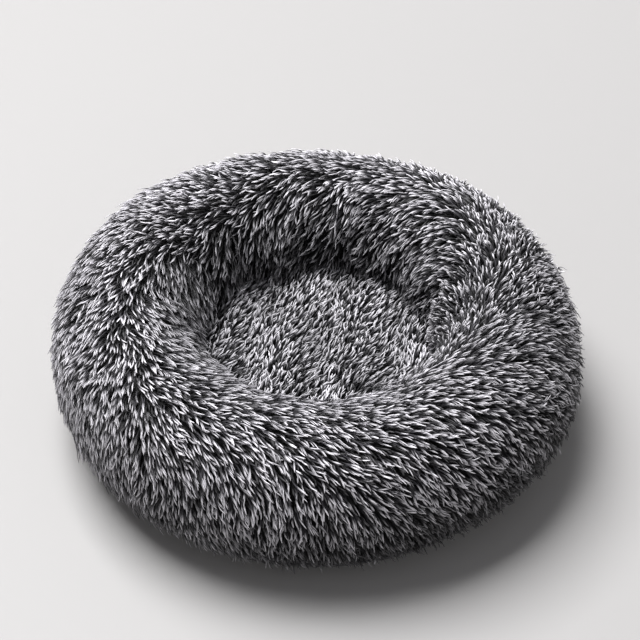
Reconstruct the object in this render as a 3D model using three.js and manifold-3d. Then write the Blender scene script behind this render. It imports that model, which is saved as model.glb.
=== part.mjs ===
// A round shaggy pet bed: a stuffed fur bolster in a ring, a fur pad inside it, a non-slip base,
// and a zip round the back of the base that lets both cushions come out for washing.
// Millimetres, +Z up, origin on the floor under the middle of the bed. -Y is the front.

import * as THREE from "three";
import { mergeVertices } from "three/addons/utils/BufferGeometryUtils.js";
import Module from "manifold-3d";

// ---- Bolster and pad: driving dimensions ----

const ringRadius = 214; // middle of the bolster, in plan
const bolsterHalfWidth = 86; // from that middle out to the tips of the pile
const bolsterMiddleHeight = 88; // height at which the bolster is widest
const bolsterCrestHeight = 195; // tips of the pile at the top
const bolsterSink = 21; // how far its full round would reach below the floor it is flattened on
const bolsterPileDepth = 20; // combed pile, from the backing cloth to the tips
const furBackingThickness = 1.5;
const outerEdgeAngle = THREE.MathUtils.degToRad(-45); // where the fur ends above the base
const innerEdgeAngle = THREE.MathUtils.degToRad(195); // where the fur is sewn to the pad
const outerPileEndRise = 5; // the pile's lower end stands this far above the fur's edge
const crossSeamAngle = THREE.MathUtils.degToRad(165); // the fur is two strips, joined here and opposite
const padPileDepth = 15;
const padDomeRise = 4;
const padPileRounding = 9; // how the pad's pile rounds over into the crease round it
const padSquareness = 0.5; // power of the pad cushion's section: 1 is an oval, less is boxier
const linerThickness = 1;
const seamTapeWidth = 6;
const seamTapeThickness = 2.6;

// ---- Base and zip: driving dimensions ----

const baseThickness = 2.2; // cloth with its grip dots
const bandThickness = 1.2;
const bindingThickness = 1.8;
const bindingHeight = 4;
const bindingLift = 0.5; // the binding's lower edge stays off the floor
const zipLength = 640;
const zipTapeThickness = 0.8;
const zipTapeSlot = 2.8; // between the two tape edges
const coilThickness = 2.2;
const coilWidth = 2.6; // one side of the chain
const coilSlot = 1.2; // between the two sides of the chain
const sliderLength = 11;
const sliderPlateThickness = 1.2;
const sliderFlangeThickness = 0.8;
const sliderFlangeInset = 0.3; // how far the flanges stand in from the plates' sides
const sliderCorner = 1.2;
const sliderTaper = 0.5; // how much lower the plates are at the closed end
const sliderRim = 1.5; // from either end of the plates to the flanges and the post
const sliderMouth = 4; // from the open end back to the flanges
const sliderPostLength = 5;
const bridgeWidth = 2.6;
const bridgeSpan = 9.2;
const bridgeLegLength = 1.2;
const bridgeClearHeight = 2.8;
const bridgeRounding = 1;
const pullTabThickness = 1.3;
const pullTabArmWidth = 1.5;
const pullTabEyeOverhang = 1.4; // from the bridge's leg to the end of the tab's eye
const pullTabFlare = 0.6; // how much wider the tab is at its tip, on each side
const pullTabLength = 26;
const pullTabHoleRadius = 1.5;
const stopLength = 2.4;
const endTabLength = 14;
const endTabThickness = 1;
const careLabelWidth = 25;
const careLabelLength = 26;
const careLabelThickness = 0.5;
const careLabelFloorGap = 0.4;

// ---- Clearances ----

const seamGap = 0.3; // between two pieces that are sewn or laid face to face
const cushionClearance = 0.8; // between a cover and the cushion in it
const fillClearance = 1; // between a liner and its filling
const pileClearance = 1; // between the pad's pile and the bolster's
const slidingClearance = 0.5; // round whatever the zip slider runs on
const postClearance = 0.3; // between the slider's post and each side of the coil
const padCushionGap = 4; // from the pad cushion's edge out to the seam
const bindingClearance = 0.45; // between the band and the binding sewn round it
const bandEndClearance = 0.9; // between the zip's tapes and the ends of the band

// ---- Places that follow from them ----

const bolsterDrop = bolsterMiddleHeight + bolsterSink;
const coverInside = bolsterPileDepth + furBackingThickness;
const ringLinerInset = coverInside + cushionClearance;
const ringFillInset = ringLinerInset + linerThickness + fillClearance;
const outerEdge = bolsterPoint(bolsterPileDepth, outerEdgeAngle);
const innerEdge = bolsterPoint(bolsterPileDepth, innerEdgeAngle);
const bandRadius = outerEdge.x;
const bandBottom = baseThickness + seamGap;
const bandTop = outerEdge.y - seamGap;
const chainHeight = (bandBottom + bandTop) / 2;
const padFlangeTop = innerEdge.y - seamGap;
const padFlangeBottom = padFlangeTop - furBackingThickness;
const padPileRadius = ringRadius - bolsterHalfWidth - pileClearance;
const padCushionRadius = innerEdge.x - padCushionGap;
const cushionBottom = baseThickness + cushionClearance;

const tapeOuterRadius = bandRadius;
const tapeInnerRadius = tapeOuterRadius - zipTapeThickness;
const coilInnerRadius = tapeOuterRadius + seamGap;
const coilOuterRadius = coilInnerRadius + coilThickness;
const zipHalfAngle = zipLength / 2 / bandRadius;
const zipMiddleAngle = Math.PI / 2; // straight behind
const zipOpenEnd = zipMiddleAngle - zipHalfAngle;
const zipClosedEnd = zipMiddleAngle + zipHalfAngle;
const bandEndGap = bandEndClearance / bandRadius;
const stopInset = endTabLength / 2 + seamGap;

// ---- Solids ----

const wasm = await Module();
wasm.setup();

function solidOf(geometry) {
  const bare = geometry.clone();
  bare.deleteAttribute("normal");
  bare.deleteAttribute("uv");
  const merged = mergeVertices(bare, 1e-3);
  const vertProperties = new Float32Array(merged.attributes.position.array);
  const triVerts = new Uint32Array(merged.index.array);
  return new wasm.Manifold(new wasm.Mesh({ numProp: 3, vertProperties, triVerts }));
}

function geometryOf(solid) {
  const mesh = solid.getMesh();
  const geometry = new THREE.BufferGeometry();
  geometry.setAttribute("position", new THREE.BufferAttribute(mesh.vertProperties, 3));
  geometry.setIndex(new THREE.BufferAttribute(mesh.triVerts, 1));
  const flat = geometry.toNonIndexed();
  flat.computeVertexNormals();
  return flat;
}

function joined(geometries) {
  return geometryOf(geometries.map(solidOf).reduce((whole, piece) => whole.add(piece)));
}

// ---- The bolster's section, and how stuffing makes it uneven ----

// A point of the section, `inset` under the tips of the pile, at `angle` up from straight out.
function bolsterPoint(inset, angle) {
  const rise = Math.sin(angle);
  const halfHeight = rise > 0 ? bolsterCrestHeight - bolsterMiddleHeight : bolsterDrop;
  return new THREE.Vector2(
    ringRadius + (bolsterHalfWidth - inset) * Math.cos(angle),
    bolsterMiddleHeight + (halfHeight - inset) * rise,
  );
}

// The tips of the pile at a height below the middle, on the outside or the inside.
function pileTipAngle(height, inside) {
  const below = Math.asin((bolsterMiddleHeight - height) / bolsterDrop);
  return inside ? Math.PI + below : -below;
}

function sectionArc(inset, from, to, steps, floor = -Infinity) {
  return Array.from({ length: steps + 1 }, (_, i) => {
    const point = bolsterPoint(inset, from + ((to - from) * i) / steps);
    point.y = Math.max(point.y, floor);
    return point;
  });
}

const coverStep = THREE.MathUtils.degToRad(15);
const cushionStep = THREE.MathUtils.degToRad(30);
const ringSegments = 40;
const circleSegments = 84;

// Slow waves round the bolster, and creases where its inner wall is drawn in.
const outerWaves = [
  { count: 2, size: 3, turn: 0.6 },
  { count: 4, size: 2, turn: 2.1 },
];
const crestWaves = [
  { count: 2, size: 3, turn: 1.2 },
  { count: 4, size: 2.5, turn: 3 },
];
const innerCreases = [
  { angle: 72, depth: 6, spread: 14 },
  { angle: 18, depth: 5, spread: 14 },
  { angle: 188, depth: 5, spread: 14 },
  { angle: 128, depth: 4, spread: 14 },
];
const creaseBulge = 3; // the wall between creases stands in by this much

function waveHeight(waves, turn) {
  return waves.reduce((sum, wave) => sum + wave.size * Math.cos(wave.count * turn + wave.turn), 0);
}

function creaseDepth(turn) {
  const degrees = THREE.MathUtils.radToDeg(turn);
  return innerCreases.reduce((sum, crease) => {
    const away = THREE.MathUtils.euclideanModulo(degrees - crease.angle + 180, 360) - 180;
    return sum + crease.depth * Math.exp(-((away / crease.spread) ** 2));
  }, -creaseBulge);
}

// Moves every vertex of a soft piece as the stuffing does. Pieces that lie one inside the other
// all move alike, and nothing moves at the height of the base, so the zip's band stays a true circle.
function stuffed(geometry) {
  const { smoothstep } = THREE.MathUtils;
  const at = geometry.attributes.position;
  const inner = ringRadius - bolsterHalfWidth;
  for (let i = 0; i < at.count; i += 1) {
    const radius = Math.hypot(at.getX(i), at.getY(i));
    const turn = Math.atan2(at.getY(i), at.getX(i));
    const height = at.getZ(i);
    const free = smoothstep(height, bandTop + seamGap, bolsterMiddleHeight);
    const outward = smoothstep(radius, ringRadius - bolsterHalfWidth / 2, ringRadius + bolsterHalfWidth);
    const inward = smoothstep(radius, inner / 2, inner) * (1 - smoothstep(radius, inner, ringRadius));
    const high = smoothstep(height, bolsterMiddleHeight, bolsterCrestHeight);
    const moved = radius + free * (outward * waveHeight(outerWaves, turn) + inward * creaseDepth(turn));
    at.setXYZ(i, moved * Math.cos(turn), moved * Math.sin(turn), height + high * waveHeight(crestWaves, turn));
  }
  return geometry;
}

// Turns a profile of (radius, height) points about the vertical axis.
function turned(profile, segments) {
  return new THREE.LatheGeometry(profile, segments).rotateX(Math.PI / 2);
}

// Part of a flat ring seen from above, between two radii, two angles and two heights.
function bandArc(inner, outer, from, to, bottom, top) {
  const curveSegments = Math.ceil(((to - from) / (2 * Math.PI)) * circleSegments);
  const shape = new THREE.Shape();
  shape.absarc(0, 0, outer, from, to, false);
  shape.absarc(0, 0, inner, to, from, true);
  const depth = top - bottom;
  const geometry = new THREE.ExtrudeGeometry(shape, { depth, curveSegments, bevelEnabled: false });
  return geometry.translate(0, 0, bottom);
}

// A plate that faces outwards: its outline is (along the band, height), and it starts at a radius.
function facingPlate(outline, radius, thickness) {
  const { ExtrudeGeometry, Matrix4, Vector3 } = THREE;
  const geometry = new ExtrudeGeometry(outline, { depth: thickness, bevelEnabled: false, curveSegments: 6 });
  const along = new Vector3(0, 1, 0);
  const up = new Vector3(0, 0, 1);
  const out = new Vector3(1, 0, 0);
  return geometry.applyMatrix4(new Matrix4().makeBasis(along, up, out)).translate(radius, 0, 0);
}

function block(x0, x1, y0, y1, z0, z1) {
  const geometry = new THREE.BoxGeometry(x1 - x0, y1 - y0, z1 - z0);
  return geometry.translate((x0 + x1) / 2, (y0 + y1) / 2, (z0 + z1) / 2);
}

// ---- Materials ----

function material(color, roughness, metalness = 0) {
  return new THREE.MeshStandardMaterial({ color, roughness, metalness });
}

const furColor = 0x6f6e72;
const baseClothColor = 0x4a4a4d;
const linerColor = 0xe9e8e4;
const fillColor = 0xf4f3f0;
const zipClothColor = 0x55555a;

// ---- The bed ----

const bed = new THREE.Group();

function addPiece(name, geometry, finish, parent = bed) {
  const mesh = new THREE.Mesh(geometry, finish);
  mesh.name = name;
  parent.add(mesh);
  return mesh;
}

// Fur bolster cover: one wrap from above the base, over the crest and down to the pad.
function bolsterWrap() {
  const outerEnd = pileTipAngle(outerEdge.y + outerPileEndRise, false);
  const innerEnd = pileTipAngle(innerEdge.y + seamGap, true);
  const backSteps = Math.round((innerEdgeAngle - outerEdgeAngle) / coverStep);
  const tips = sectionArc(0, outerEnd, innerEnd, backSteps);
  const inside = sectionArc(coverInside, innerEdgeAngle, outerEdgeAngle, backSteps);
  return stuffed(turned([outerEdge, ...tips, innerEdge, ...inside, outerEdge], ringSegments));
}

function addBolsterCover() {
  const wrap = solidOf(bolsterWrap());
  const reach = 2 * (ringRadius + bolsterHalfWidth);
  ["ring_cover_front", "ring_cover_back"].forEach((name, side) => {
    const half = block(-reach, reach, seamGap / 2, reach, -reach, reach);
    half.rotateZ(crossSeamAngle + Math.PI * side);
    addPiece(name, geometryOf(wrap.intersect(solidOf(half))), material(furColor, 0.95));
  });
}

// The ring cushion: two annular liner panels sewn at their edges, round a solid ring of fibre.
function ringLiner(from, to, gapSide) {
  const steps = Math.round((to - from) / cushionStep);
  const outside = sectionArc(ringLinerInset, from, to, steps, cushionBottom);
  const inside = sectionArc(ringLinerInset + linerThickness, to, from, steps, cushionBottom + linerThickness);
  const profile = [...outside, ...inside, outside[0]];
  return turned(profile.map((point) => point.clone().setY(point.y + (gapSide * seamGap) / 2)), ringSegments);
}

function addRingCushion() {
  addPiece("ring_liner_upper", stuffed(ringLiner(0, Math.PI, 1)), material(linerColor, 0.85));
  addPiece("ring_liner_lower", stuffed(ringLiner(Math.PI, 2 * Math.PI, -1)), material(linerColor, 0.85));
  const steps = Math.round((2 * Math.PI) / cushionStep);
  const fillBottom = cushionBottom + linerThickness + fillClearance;
  const section = sectionArc(ringFillInset, 0, 2 * Math.PI, steps, fillBottom);
  section[steps] = section[0];
  addPiece("ring_fill", stuffed(turned(section, ringSegments)), material(fillColor, 1));
}

// How much the pad swells above its edge, under its pile.
function padDome(radius) {
  return padDomeRise * Math.max(0, 1 - (radius / padPileRadius) ** 2);
}

// Fur pad cover: a flange sewn under the bolster's inner edge, and a low dome of pile inside it.
function padCoverProfile() {
  const rings = 4;
  const across = Array.from({ length: rings + 1 }, (_, i) => (padPileRadius * i) / rings);
  const underside = across.map((radius) => new THREE.Vector2(radius, padFlangeBottom + padDome(radius)));
  const pileTop = padFlangeTop + padPileDepth;
  const shoulder = padPileRadius - padPileRounding;
  const pile = across.slice(0, rings).map((radius) => {
    const inside = radius * (shoulder / across[rings - 1]);
    return new THREE.Vector2(inside, pileTop + padDome(inside));
  });
  return [
    ...underside,
    new THREE.Vector2(innerEdge.x, padFlangeBottom),
    new THREE.Vector2(innerEdge.x, padFlangeTop),
    new THREE.Vector2(padPileRadius, padFlangeTop),
    new THREE.Vector2(padPileRadius, pileTop - padPileRounding),
    ...pile.reverse(),
  ];
}

// The pad cushion: two round liner panels with a knife-edge seam, round a flat disc of fibre.
const padCushionTop = padFlangeBottom - cushionClearance;
const padCushionMiddle = (cushionBottom + padCushionTop) / 2;
const padCushionHalfHeight = (padCushionTop - cushionBottom) / 2;
const padSteps = 5;

function padPoint(inset, angle) {
  const across = Math.abs(Math.cos(angle)) ** padSquareness;
  const up = Math.sign(Math.sin(angle)) * Math.abs(Math.sin(angle)) ** padSquareness;
  const radius = Math.abs(angle) === Math.PI / 2 ? 0 : (padCushionRadius - inset) * across;
  const swell = angle > 0 ? padDome(radius) : 0;
  return new THREE.Vector2(radius, padCushionMiddle + (padCushionHalfHeight - inset) * up + swell);
}

function padArc(inset, from, to, steps) {
  return Array.from({ length: steps + 1 }, (_, i) => {
    const share = i / steps;
    return padPoint(inset, share === 1 ? to : from + (to - from) * share);
  });
}

function padLiner(side) {
  const edgeToMiddle = padArc(0, 0, (side * Math.PI) / 2, padSteps);
  const inside = padArc(linerThickness, 0, (side * Math.PI) / 2, padSteps);
  const lift = (side * seamGap) / 2;
  const shifted = (points) => points.map((point) => point.clone().setY(point.y + lift));
  const profile = [...shifted(inside).reverse(), ...shifted(edgeToMiddle)];
  return turned(side > 0 ? profile : profile.reverse(), ringSegments);
}

function addPad() {
  addPiece("pad_cover", stuffed(turned(padCoverProfile(), ringSegments)), material(furColor, 0.95));
  addPiece("pad_liner_top", padLiner(1), material(linerColor, 0.85));
  addPiece("pad_liner_bottom", padLiner(-1), material(linerColor, 0.85));
  const fill = padArc(linerThickness + fillClearance, -Math.PI / 2, Math.PI / 2, 2 * padSteps);
  addPiece("pad_fill", turned(fill, ringSegments), material(fillColor, 1));
  const tapeTop = padFlangeBottom - seamGap;
  const tapeOuter = innerEdge.x - seamGap;
  const tape = [
    new THREE.Vector2(tapeOuter - seamTapeWidth, tapeTop - seamTapeThickness),
    new THREE.Vector2(tapeOuter, tapeTop - seamTapeThickness),
    new THREE.Vector2(tapeOuter, tapeTop),
    new THREE.Vector2(tapeOuter - seamTapeWidth, tapeTop),
    new THREE.Vector2(tapeOuter - seamTapeWidth, tapeTop - seamTapeThickness),
  ];
  addPiece("pad_seam_tape", stuffed(turned(tape, ringSegments)), material(baseClothColor, 0.8));
}

// The base: a round of non-slip cloth, the band that stands on its edge, and the binding round the seam.
function addBase() {
  const panel = new THREE.CylinderGeometry(bandRadius, bandRadius, baseThickness, circleSegments);
  panel.rotateX(Math.PI / 2).translate(0, 0, baseThickness / 2);
  addPiece("base_panel", panel, material(baseClothColor, 0.8));
  const bandStart = zipClosedEnd + bandEndGap;
  const bandFinish = zipOpenEnd + 2 * Math.PI - bandEndGap;
  const band = bandArc(bandRadius - bandThickness, bandRadius, bandStart, bandFinish, bandBottom, bandTop);
  addPiece("base_band", band, material(baseClothColor, 0.8));
  const bindingInner = bandRadius + bindingClearance;
  const bindingOuter = bindingInner + bindingThickness;
  const bindingTop = bindingLift + bindingHeight;
  const rounding = bindingThickness / 2;
  const binding = [
    new THREE.Vector2(bindingInner, bindingLift),
    new THREE.Vector2(bindingOuter - rounding, bindingLift),
    new THREE.Vector2(bindingOuter, bindingLift + rounding),
    new THREE.Vector2(bindingOuter, bindingTop - rounding),
    new THREE.Vector2(bindingOuter - rounding, bindingTop),
    new THREE.Vector2(bindingInner, bindingTop),
    new THREE.Vector2(bindingInner, bindingLift),
  ];
  addPiece("base_binding", turned(binding, circleSegments), material(baseClothColor, 0.75));
  addCareLabel(bindingOuter, bandStart);
}

// A blank label in the seam beside the zip, lying on the floor under the bolster.
function addCareLabel(bindingOuter, bandStart) {
  const start = bindingOuter + seamGap;
  const labelTop = careLabelFloorGap + careLabelThickness;
  const label = block(
    start, start + careLabelLength, -careLabelWidth / 2, careLabelWidth / 2, careLabelFloorGap, labelTop,
  );
  const mesh = addPiece("care_label", label, material(0xf2f2f0, 0.7));
  mesh.rotation.z = bandStart + (endTabLength + careLabelWidth) / bandRadius;
}

// The zip: each tape carries one side of the coil, with a stop at the ends and a cloth tab over them.
function addZipChain() {
  const halfTapeSlot = zipTapeSlot / 2;
  const halfCoilSlot = coilSlot / 2;
  const coilFrom = zipOpenEnd + (stopInset + stopLength + seamGap) / bandRadius;
  const coilTo = zipClosedEnd - (stopInset + stopLength + seamGap) / bandRadius;
  const sides = [
    { side: "lower", sign: -1, edge: bandBottom },
    { side: "upper", sign: 1, edge: bandTop },
  ];
  for (const { side, sign, edge } of sides) {
    const between = (near, far) => [Math.min(near, far), Math.max(near, far)];
    const tapeSpan = between(chainHeight + sign * halfTapeSlot, edge);
    const tape = bandArc(tapeInnerRadius, tapeOuterRadius, zipOpenEnd, zipClosedEnd, ...tapeSpan);
    addPiece(`zip_tape_${side}`, tape, material(zipClothColor, 0.85));
    const nearEdge = chainHeight + sign * halfCoilSlot;
    const coilSpan = between(nearEdge, nearEdge + sign * coilWidth);
    const coil = bandArc(coilInnerRadius, coilOuterRadius, coilFrom, coilTo, ...coilSpan);
    addPiece(`zip_coil_${side}`, coil, material(0x3c3c40, 0.4));
    const stop = bandArc(
      coilInnerRadius,
      coilOuterRadius,
      coilTo + seamGap / bandRadius,
      coilTo + (seamGap + stopLength) / bandRadius,
      ...coilSpan,
    );
    addPiece(`zip_top_stop_${side}`, stop, material(0x9a9a9e, 0.35, 1));
  }
  const bottomStop = bandArc(
    coilInnerRadius,
    coilOuterRadius,
    coilFrom - (seamGap + stopLength) / bandRadius,
    coilFrom - seamGap / bandRadius,
    chainHeight - halfCoilSlot - coilWidth,
    chainHeight + halfCoilSlot + coilWidth,
  );
  addPiece("zip_bottom_stop", bottomStop, material(0x9a9a9e, 0.35, 1));
  addZipEndTabs();
  return { coilFrom, coilTo };
}

// Folded scraps of cloth sewn over the places where the tapes meet the band.
function addZipEndTabs() {
  const tabInner = bandRadius + seamGap;
  const tabBottom = bindingLift + bindingHeight + seamGap;
  const halfAngle = endTabLength / 2 / bandRadius;
  const places = { zip_end_tab_right: zipOpenEnd, zip_end_tab_left: zipClosedEnd };
  for (const [name, middle] of Object.entries(places)) {
    const tab = bandArc(
      tabInner, tabInner + endTabThickness, middle - halfAngle, middle + halfAngle, tabBottom, bandTop,
    );
    addPiece(name, tab, material(baseClothColor, 0.8));
  }
}

// The slider, drawn with X outwards and Y along the band, at the height of the chain.
const sliderInnerFace = tapeInnerRadius - slidingClearance;
const sliderOuterPlate = coilOuterRadius + slidingClearance;
const sliderTop = sliderOuterPlate + sliderPlateThickness;
const flangeStart = coilSlot / 2 + coilWidth + slidingClearance;
const sliderHalfHeight = flangeStart + sliderFlangeThickness;

// Wide at the mouth where the two tapes part, and narrow where the closed chain leaves.
function sliderOutline() {
  const half = sliderLength / 2;
  const corner = sliderCorner;
  const waist = sliderHalfHeight - sliderTaper;
  const shape = new THREE.Shape();
  shape.moveTo(-half, -waist + corner);
  shape.quadraticCurveTo(-half, -waist, -half + corner, -waist);
  shape.lineTo(half - 3 * corner, -sliderHalfHeight);
  shape.quadraticCurveTo(half, -sliderHalfHeight, half, -sliderHalfHeight / 2);
  shape.quadraticCurveTo(half - corner, 0, half, sliderHalfHeight / 2);
  shape.quadraticCurveTo(half, sliderHalfHeight, half - 3 * corner, sliderHalfHeight);
  shape.lineTo(-half + corner, waist);
  shape.quadraticCurveTo(-half, waist, -half, waist - corner);
  shape.closePath();
  return shape;
}

function sliderGeometry() {
  const innerPlate = facingPlate(sliderOutline(), sliderInnerFace - sliderPlateThickness, sliderPlateThickness);
  const outerPlate = facingPlate(sliderOutline(), sliderOuterPlate, sliderPlateThickness);
  const flangeInner = tapeOuterRadius + slidingClearance;
  const flangeFrom = -sliderLength / 2 + sliderRim;
  const flangeTo = sliderLength / 2 - sliderMouth;
  const flanges = [-1, 1].map((sign) => {
    const near = sign * flangeStart;
    const far = sign * (flangeStart + sliderFlangeThickness - sliderFlangeInset);
    return block(flangeInner, sliderTop, flangeFrom, flangeTo, Math.min(near, far), Math.max(near, far));
  });
  const postHalf = coilSlot / 2 - postClearance;
  const postTo = sliderLength / 2 - sliderRim;
  const post = block(
    sliderInnerFace - sliderPlateThickness / 2,
    sliderOuterPlate + sliderPlateThickness / 2,
    postTo - sliderPostLength,
    postTo,
    -postHalf,
    postHalf,
  );
  const bridgeTop = sliderTop + bridgeClearHeight + sliderPlateThickness;
  const bridgeOutline = new THREE.Shape();
  const halfSpan = bridgeSpan / 2;
  bridgeOutline.moveTo(sliderTop - sliderPlateThickness / 2, -halfSpan);
  bridgeOutline.lineTo(bridgeTop - bridgeRounding, -halfSpan);
  bridgeOutline.quadraticCurveTo(bridgeTop, -halfSpan, bridgeTop, -halfSpan + bridgeRounding);
  bridgeOutline.lineTo(bridgeTop, halfSpan - bridgeRounding);
  bridgeOutline.quadraticCurveTo(bridgeTop, halfSpan, bridgeTop - bridgeRounding, halfSpan);
  bridgeOutline.lineTo(sliderTop - sliderPlateThickness / 2, halfSpan);
  bridgeOutline.lineTo(sliderTop - sliderPlateThickness / 2, halfSpan - bridgeLegLength);
  bridgeOutline.lineTo(sliderTop + bridgeClearHeight, halfSpan - bridgeLegLength);
  bridgeOutline.lineTo(sliderTop + bridgeClearHeight, -halfSpan + bridgeLegLength);
  bridgeOutline.lineTo(sliderTop - sliderPlateThickness / 2, -halfSpan + bridgeLegLength);
  bridgeOutline.closePath();
  const bridge = new THREE.ExtrudeGeometry(bridgeOutline, {
    depth: bridgeWidth,
    bevelEnabled: false,
    curveSegments: 3,
  });
  bridge.translate(0, 0, -bridgeWidth / 2);
  return joined([innerPlate, outerPlate, ...flanges, post, bridge]);
}

// The pull tab hangs on the bridge by its eye, and turns about a vertical line through the bridge.
function pullTabGeometry() {
  const barHalf = pullTabThickness / 2;
  const eyeHalfHeight = bridgeWidth / 2 + slidingClearance;
  const rootHalfHeight = eyeHalfHeight + pullTabArmWidth;
  const tipHalfHeight = rootHalfHeight + pullTabFlare;
  const eyeEnd = bridgeSpan / 2 + pullTabEyeOverhang;
  const outline = new THREE.Shape();
  outline.moveTo(barHalf, -rootHalfHeight);
  outline.lineTo(barHalf, rootHalfHeight);
  outline.lineTo(-eyeEnd, rootHalfHeight);
  outline.lineTo(-pullTabLength + tipHalfHeight, tipHalfHeight);
  outline.absarc(-pullTabLength + tipHalfHeight, 0, tipHalfHeight, Math.PI / 2, (3 * Math.PI) / 2, false);
  outline.lineTo(-eyeEnd, -rootHalfHeight);
  outline.closePath();
  const eye = new THREE.Path();
  eye.moveTo(-barHalf, -eyeHalfHeight);
  eye.lineTo(-eyeEnd, -eyeHalfHeight);
  eye.lineTo(-eyeEnd, eyeHalfHeight);
  eye.lineTo(-barHalf, eyeHalfHeight);
  eye.closePath();
  const hole = new THREE.Path();
  hole.absarc(-pullTabLength + tipHalfHeight, 0, pullTabHoleRadius, 0, 2 * Math.PI, true);
  outline.holes.push(eye, hole);
  return facingPlate(outline, -pullTabThickness / 2, pullTabThickness);
}

function addSlider({ coilTo }) {
  const sliderGroup = new THREE.Group();
  sliderGroup.rotation.z = coilTo - (sliderLength / 2) / bandRadius;
  sliderGroup.position.z = chainHeight;
  bed.add(sliderGroup);
  addPiece("zip_slider", sliderGeometry(), material(0x8c8c90, 0.35, 1), sliderGroup);
  const tab = addPiece("zip_pull_tab", pullTabGeometry(), material(0x8c8c90, 0.35, 1), sliderGroup);
  tab.position.x = sliderTop + bridgeClearHeight / 2;
}

addBolsterCover();
addRingCushion();
addPad();
addBase();
addSlider(addZipChain());

export default bed;
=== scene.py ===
import math

import bpy
import bmesh
import numpy as np
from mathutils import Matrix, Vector


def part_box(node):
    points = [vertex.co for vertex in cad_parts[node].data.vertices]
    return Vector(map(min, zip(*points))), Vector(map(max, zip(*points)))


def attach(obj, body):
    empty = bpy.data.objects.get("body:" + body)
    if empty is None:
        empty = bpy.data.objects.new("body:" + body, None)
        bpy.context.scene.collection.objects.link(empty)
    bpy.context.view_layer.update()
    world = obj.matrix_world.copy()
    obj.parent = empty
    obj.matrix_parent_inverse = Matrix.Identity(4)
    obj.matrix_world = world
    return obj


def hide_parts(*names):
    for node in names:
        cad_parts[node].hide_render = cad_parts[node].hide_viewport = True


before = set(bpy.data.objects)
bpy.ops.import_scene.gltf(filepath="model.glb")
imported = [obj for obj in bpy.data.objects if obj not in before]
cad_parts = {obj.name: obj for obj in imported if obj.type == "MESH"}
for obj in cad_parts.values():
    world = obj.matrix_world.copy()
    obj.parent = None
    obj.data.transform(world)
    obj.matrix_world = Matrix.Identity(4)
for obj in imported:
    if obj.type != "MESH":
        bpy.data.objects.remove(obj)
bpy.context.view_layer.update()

mm = 0.001
full = 2 * math.pi
seamGap = 0.3 * mm  # between two pieces that are sewn or laid face to face
print("frame loaded")

# the bolster's section and its stuffing, as the design has them
bolster = {
    "ringRadius": 214 * mm,
    "halfWidth": 86 * mm,
    "middle": 88 * mm,  # height where it is widest
    "crest": 195 * mm,
    "sink": 21 * mm,
    "outerEnd": math.radians(-45),
    "innerEnd": math.radians(195),
    "crossSeam": math.radians(165),
    # uneven stuffing: waves round the bed, each (waves, size, start)
    "outerWaves": ((2, 3 * mm, 0.6), (4, 2 * mm, 2.1)),
    "crestWaves": ((2, 3 * mm, 1.2), (4, 2.5 * mm, 3.0)),
    # creases down the inside, each (turn in degrees, depth), and the bulge between them
    "creases": ((72, 6 * mm), (18, 5 * mm), (188, 5 * mm), (128, 4 * mm)),
    "creaseSpread": 14,  # degrees
    "creaseBulge": 3 * mm,
}
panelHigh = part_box("base_panel")[1]
bandLow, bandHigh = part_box("base_band")
padLow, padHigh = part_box("pad_cover")
bandRadius = bandHigh.x
furEdge = bandHigh.z + seamGap


def smoothStep(x, low, high):
    t = np.clip((x - low) / (high - low), 0, 1)
    return t * t * (3 - 2 * t)


def unit(v):
    return v / np.maximum(np.linalg.norm(v, axis=-1, keepdims=True), 1e-12)


# how far a turn in degrees is from another, the short way round
def turnAway(turn, middle):
    return (turn - middle + 180) % 360 - 180


def waves(turn, parts):
    return sum(size * np.cos(count * turn + start) for count, size, start in parts)


# moves points as the stuffing does, so that every layer of the bed stays inside the next
def stuffed(points):
    b = bolster
    radius = np.hypot(points[..., 0], points[..., 1])
    turn = np.arctan2(points[..., 1], points[..., 0])
    z = points[..., 2]
    inner = b["ringRadius"] - b["halfWidth"]
    free = smoothStep(z, furEdge, b["middle"])
    outward = smoothStep(radius, b["ringRadius"] - b["halfWidth"] / 2, b["ringRadius"] + b["halfWidth"])
    inward = smoothStep(radius, inner / 2, inner) * (1 - smoothStep(radius, inner, b["ringRadius"]))
    high = smoothStep(z, b["middle"], b["crest"])
    crease = -b["creaseBulge"]
    for middle, depth in b["creases"]:
        away = turnAway(np.degrees(turn), middle)
        crease = crease + depth * np.exp(-((away / b["creaseSpread"]) ** 2))
    moved = radius + free * (outward * waves(turn, b["outerWaves"]) + inward * crease)
    lifted = z + high * waves(turn, b["crestWaves"])
    return np.stack([moved * np.cos(turn), moved * np.sin(turn), lifted], axis=-1)


# points on the bolster, `inset` under the tips of the pile
def bolsterPoints(turn, angle, inset):
    b = bolster
    rise = np.sin(angle)
    tall = np.where(rise > 0, b["crest"] - b["middle"], b["middle"] + b["sink"])
    radius = b["ringRadius"] + (b["halfWidth"] - inset) * np.cos(angle)
    z = b["middle"] + (tall - inset) * rise
    return np.stack([radius * np.cos(turn), radius * np.sin(turn), z + 0 * turn], axis=-1)


# a smooth field of values about -1 to 1 over the bolster, the same all the way round
def unevenness(turn, angle, counts, seed, detail=7):
    rng = np.random.default_rng(seed)
    total = 0
    for _ in range(detail):
        count = rng.integers(counts[0], counts[1] + 1)
        total = total + np.cos(count * turn + rng.uniform(-1, 1) * counts[1] / 2 * angle
                               + rng.uniform(0, full))
    return total / math.sqrt(detail / 2)


def linkMesh(name, mesh, material=None):
    piece = bpy.data.objects.new(name, mesh)
    bpy.context.scene.collection.objects.link(piece)
    if material:
        mesh.materials.append(material)
    return piece


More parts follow.
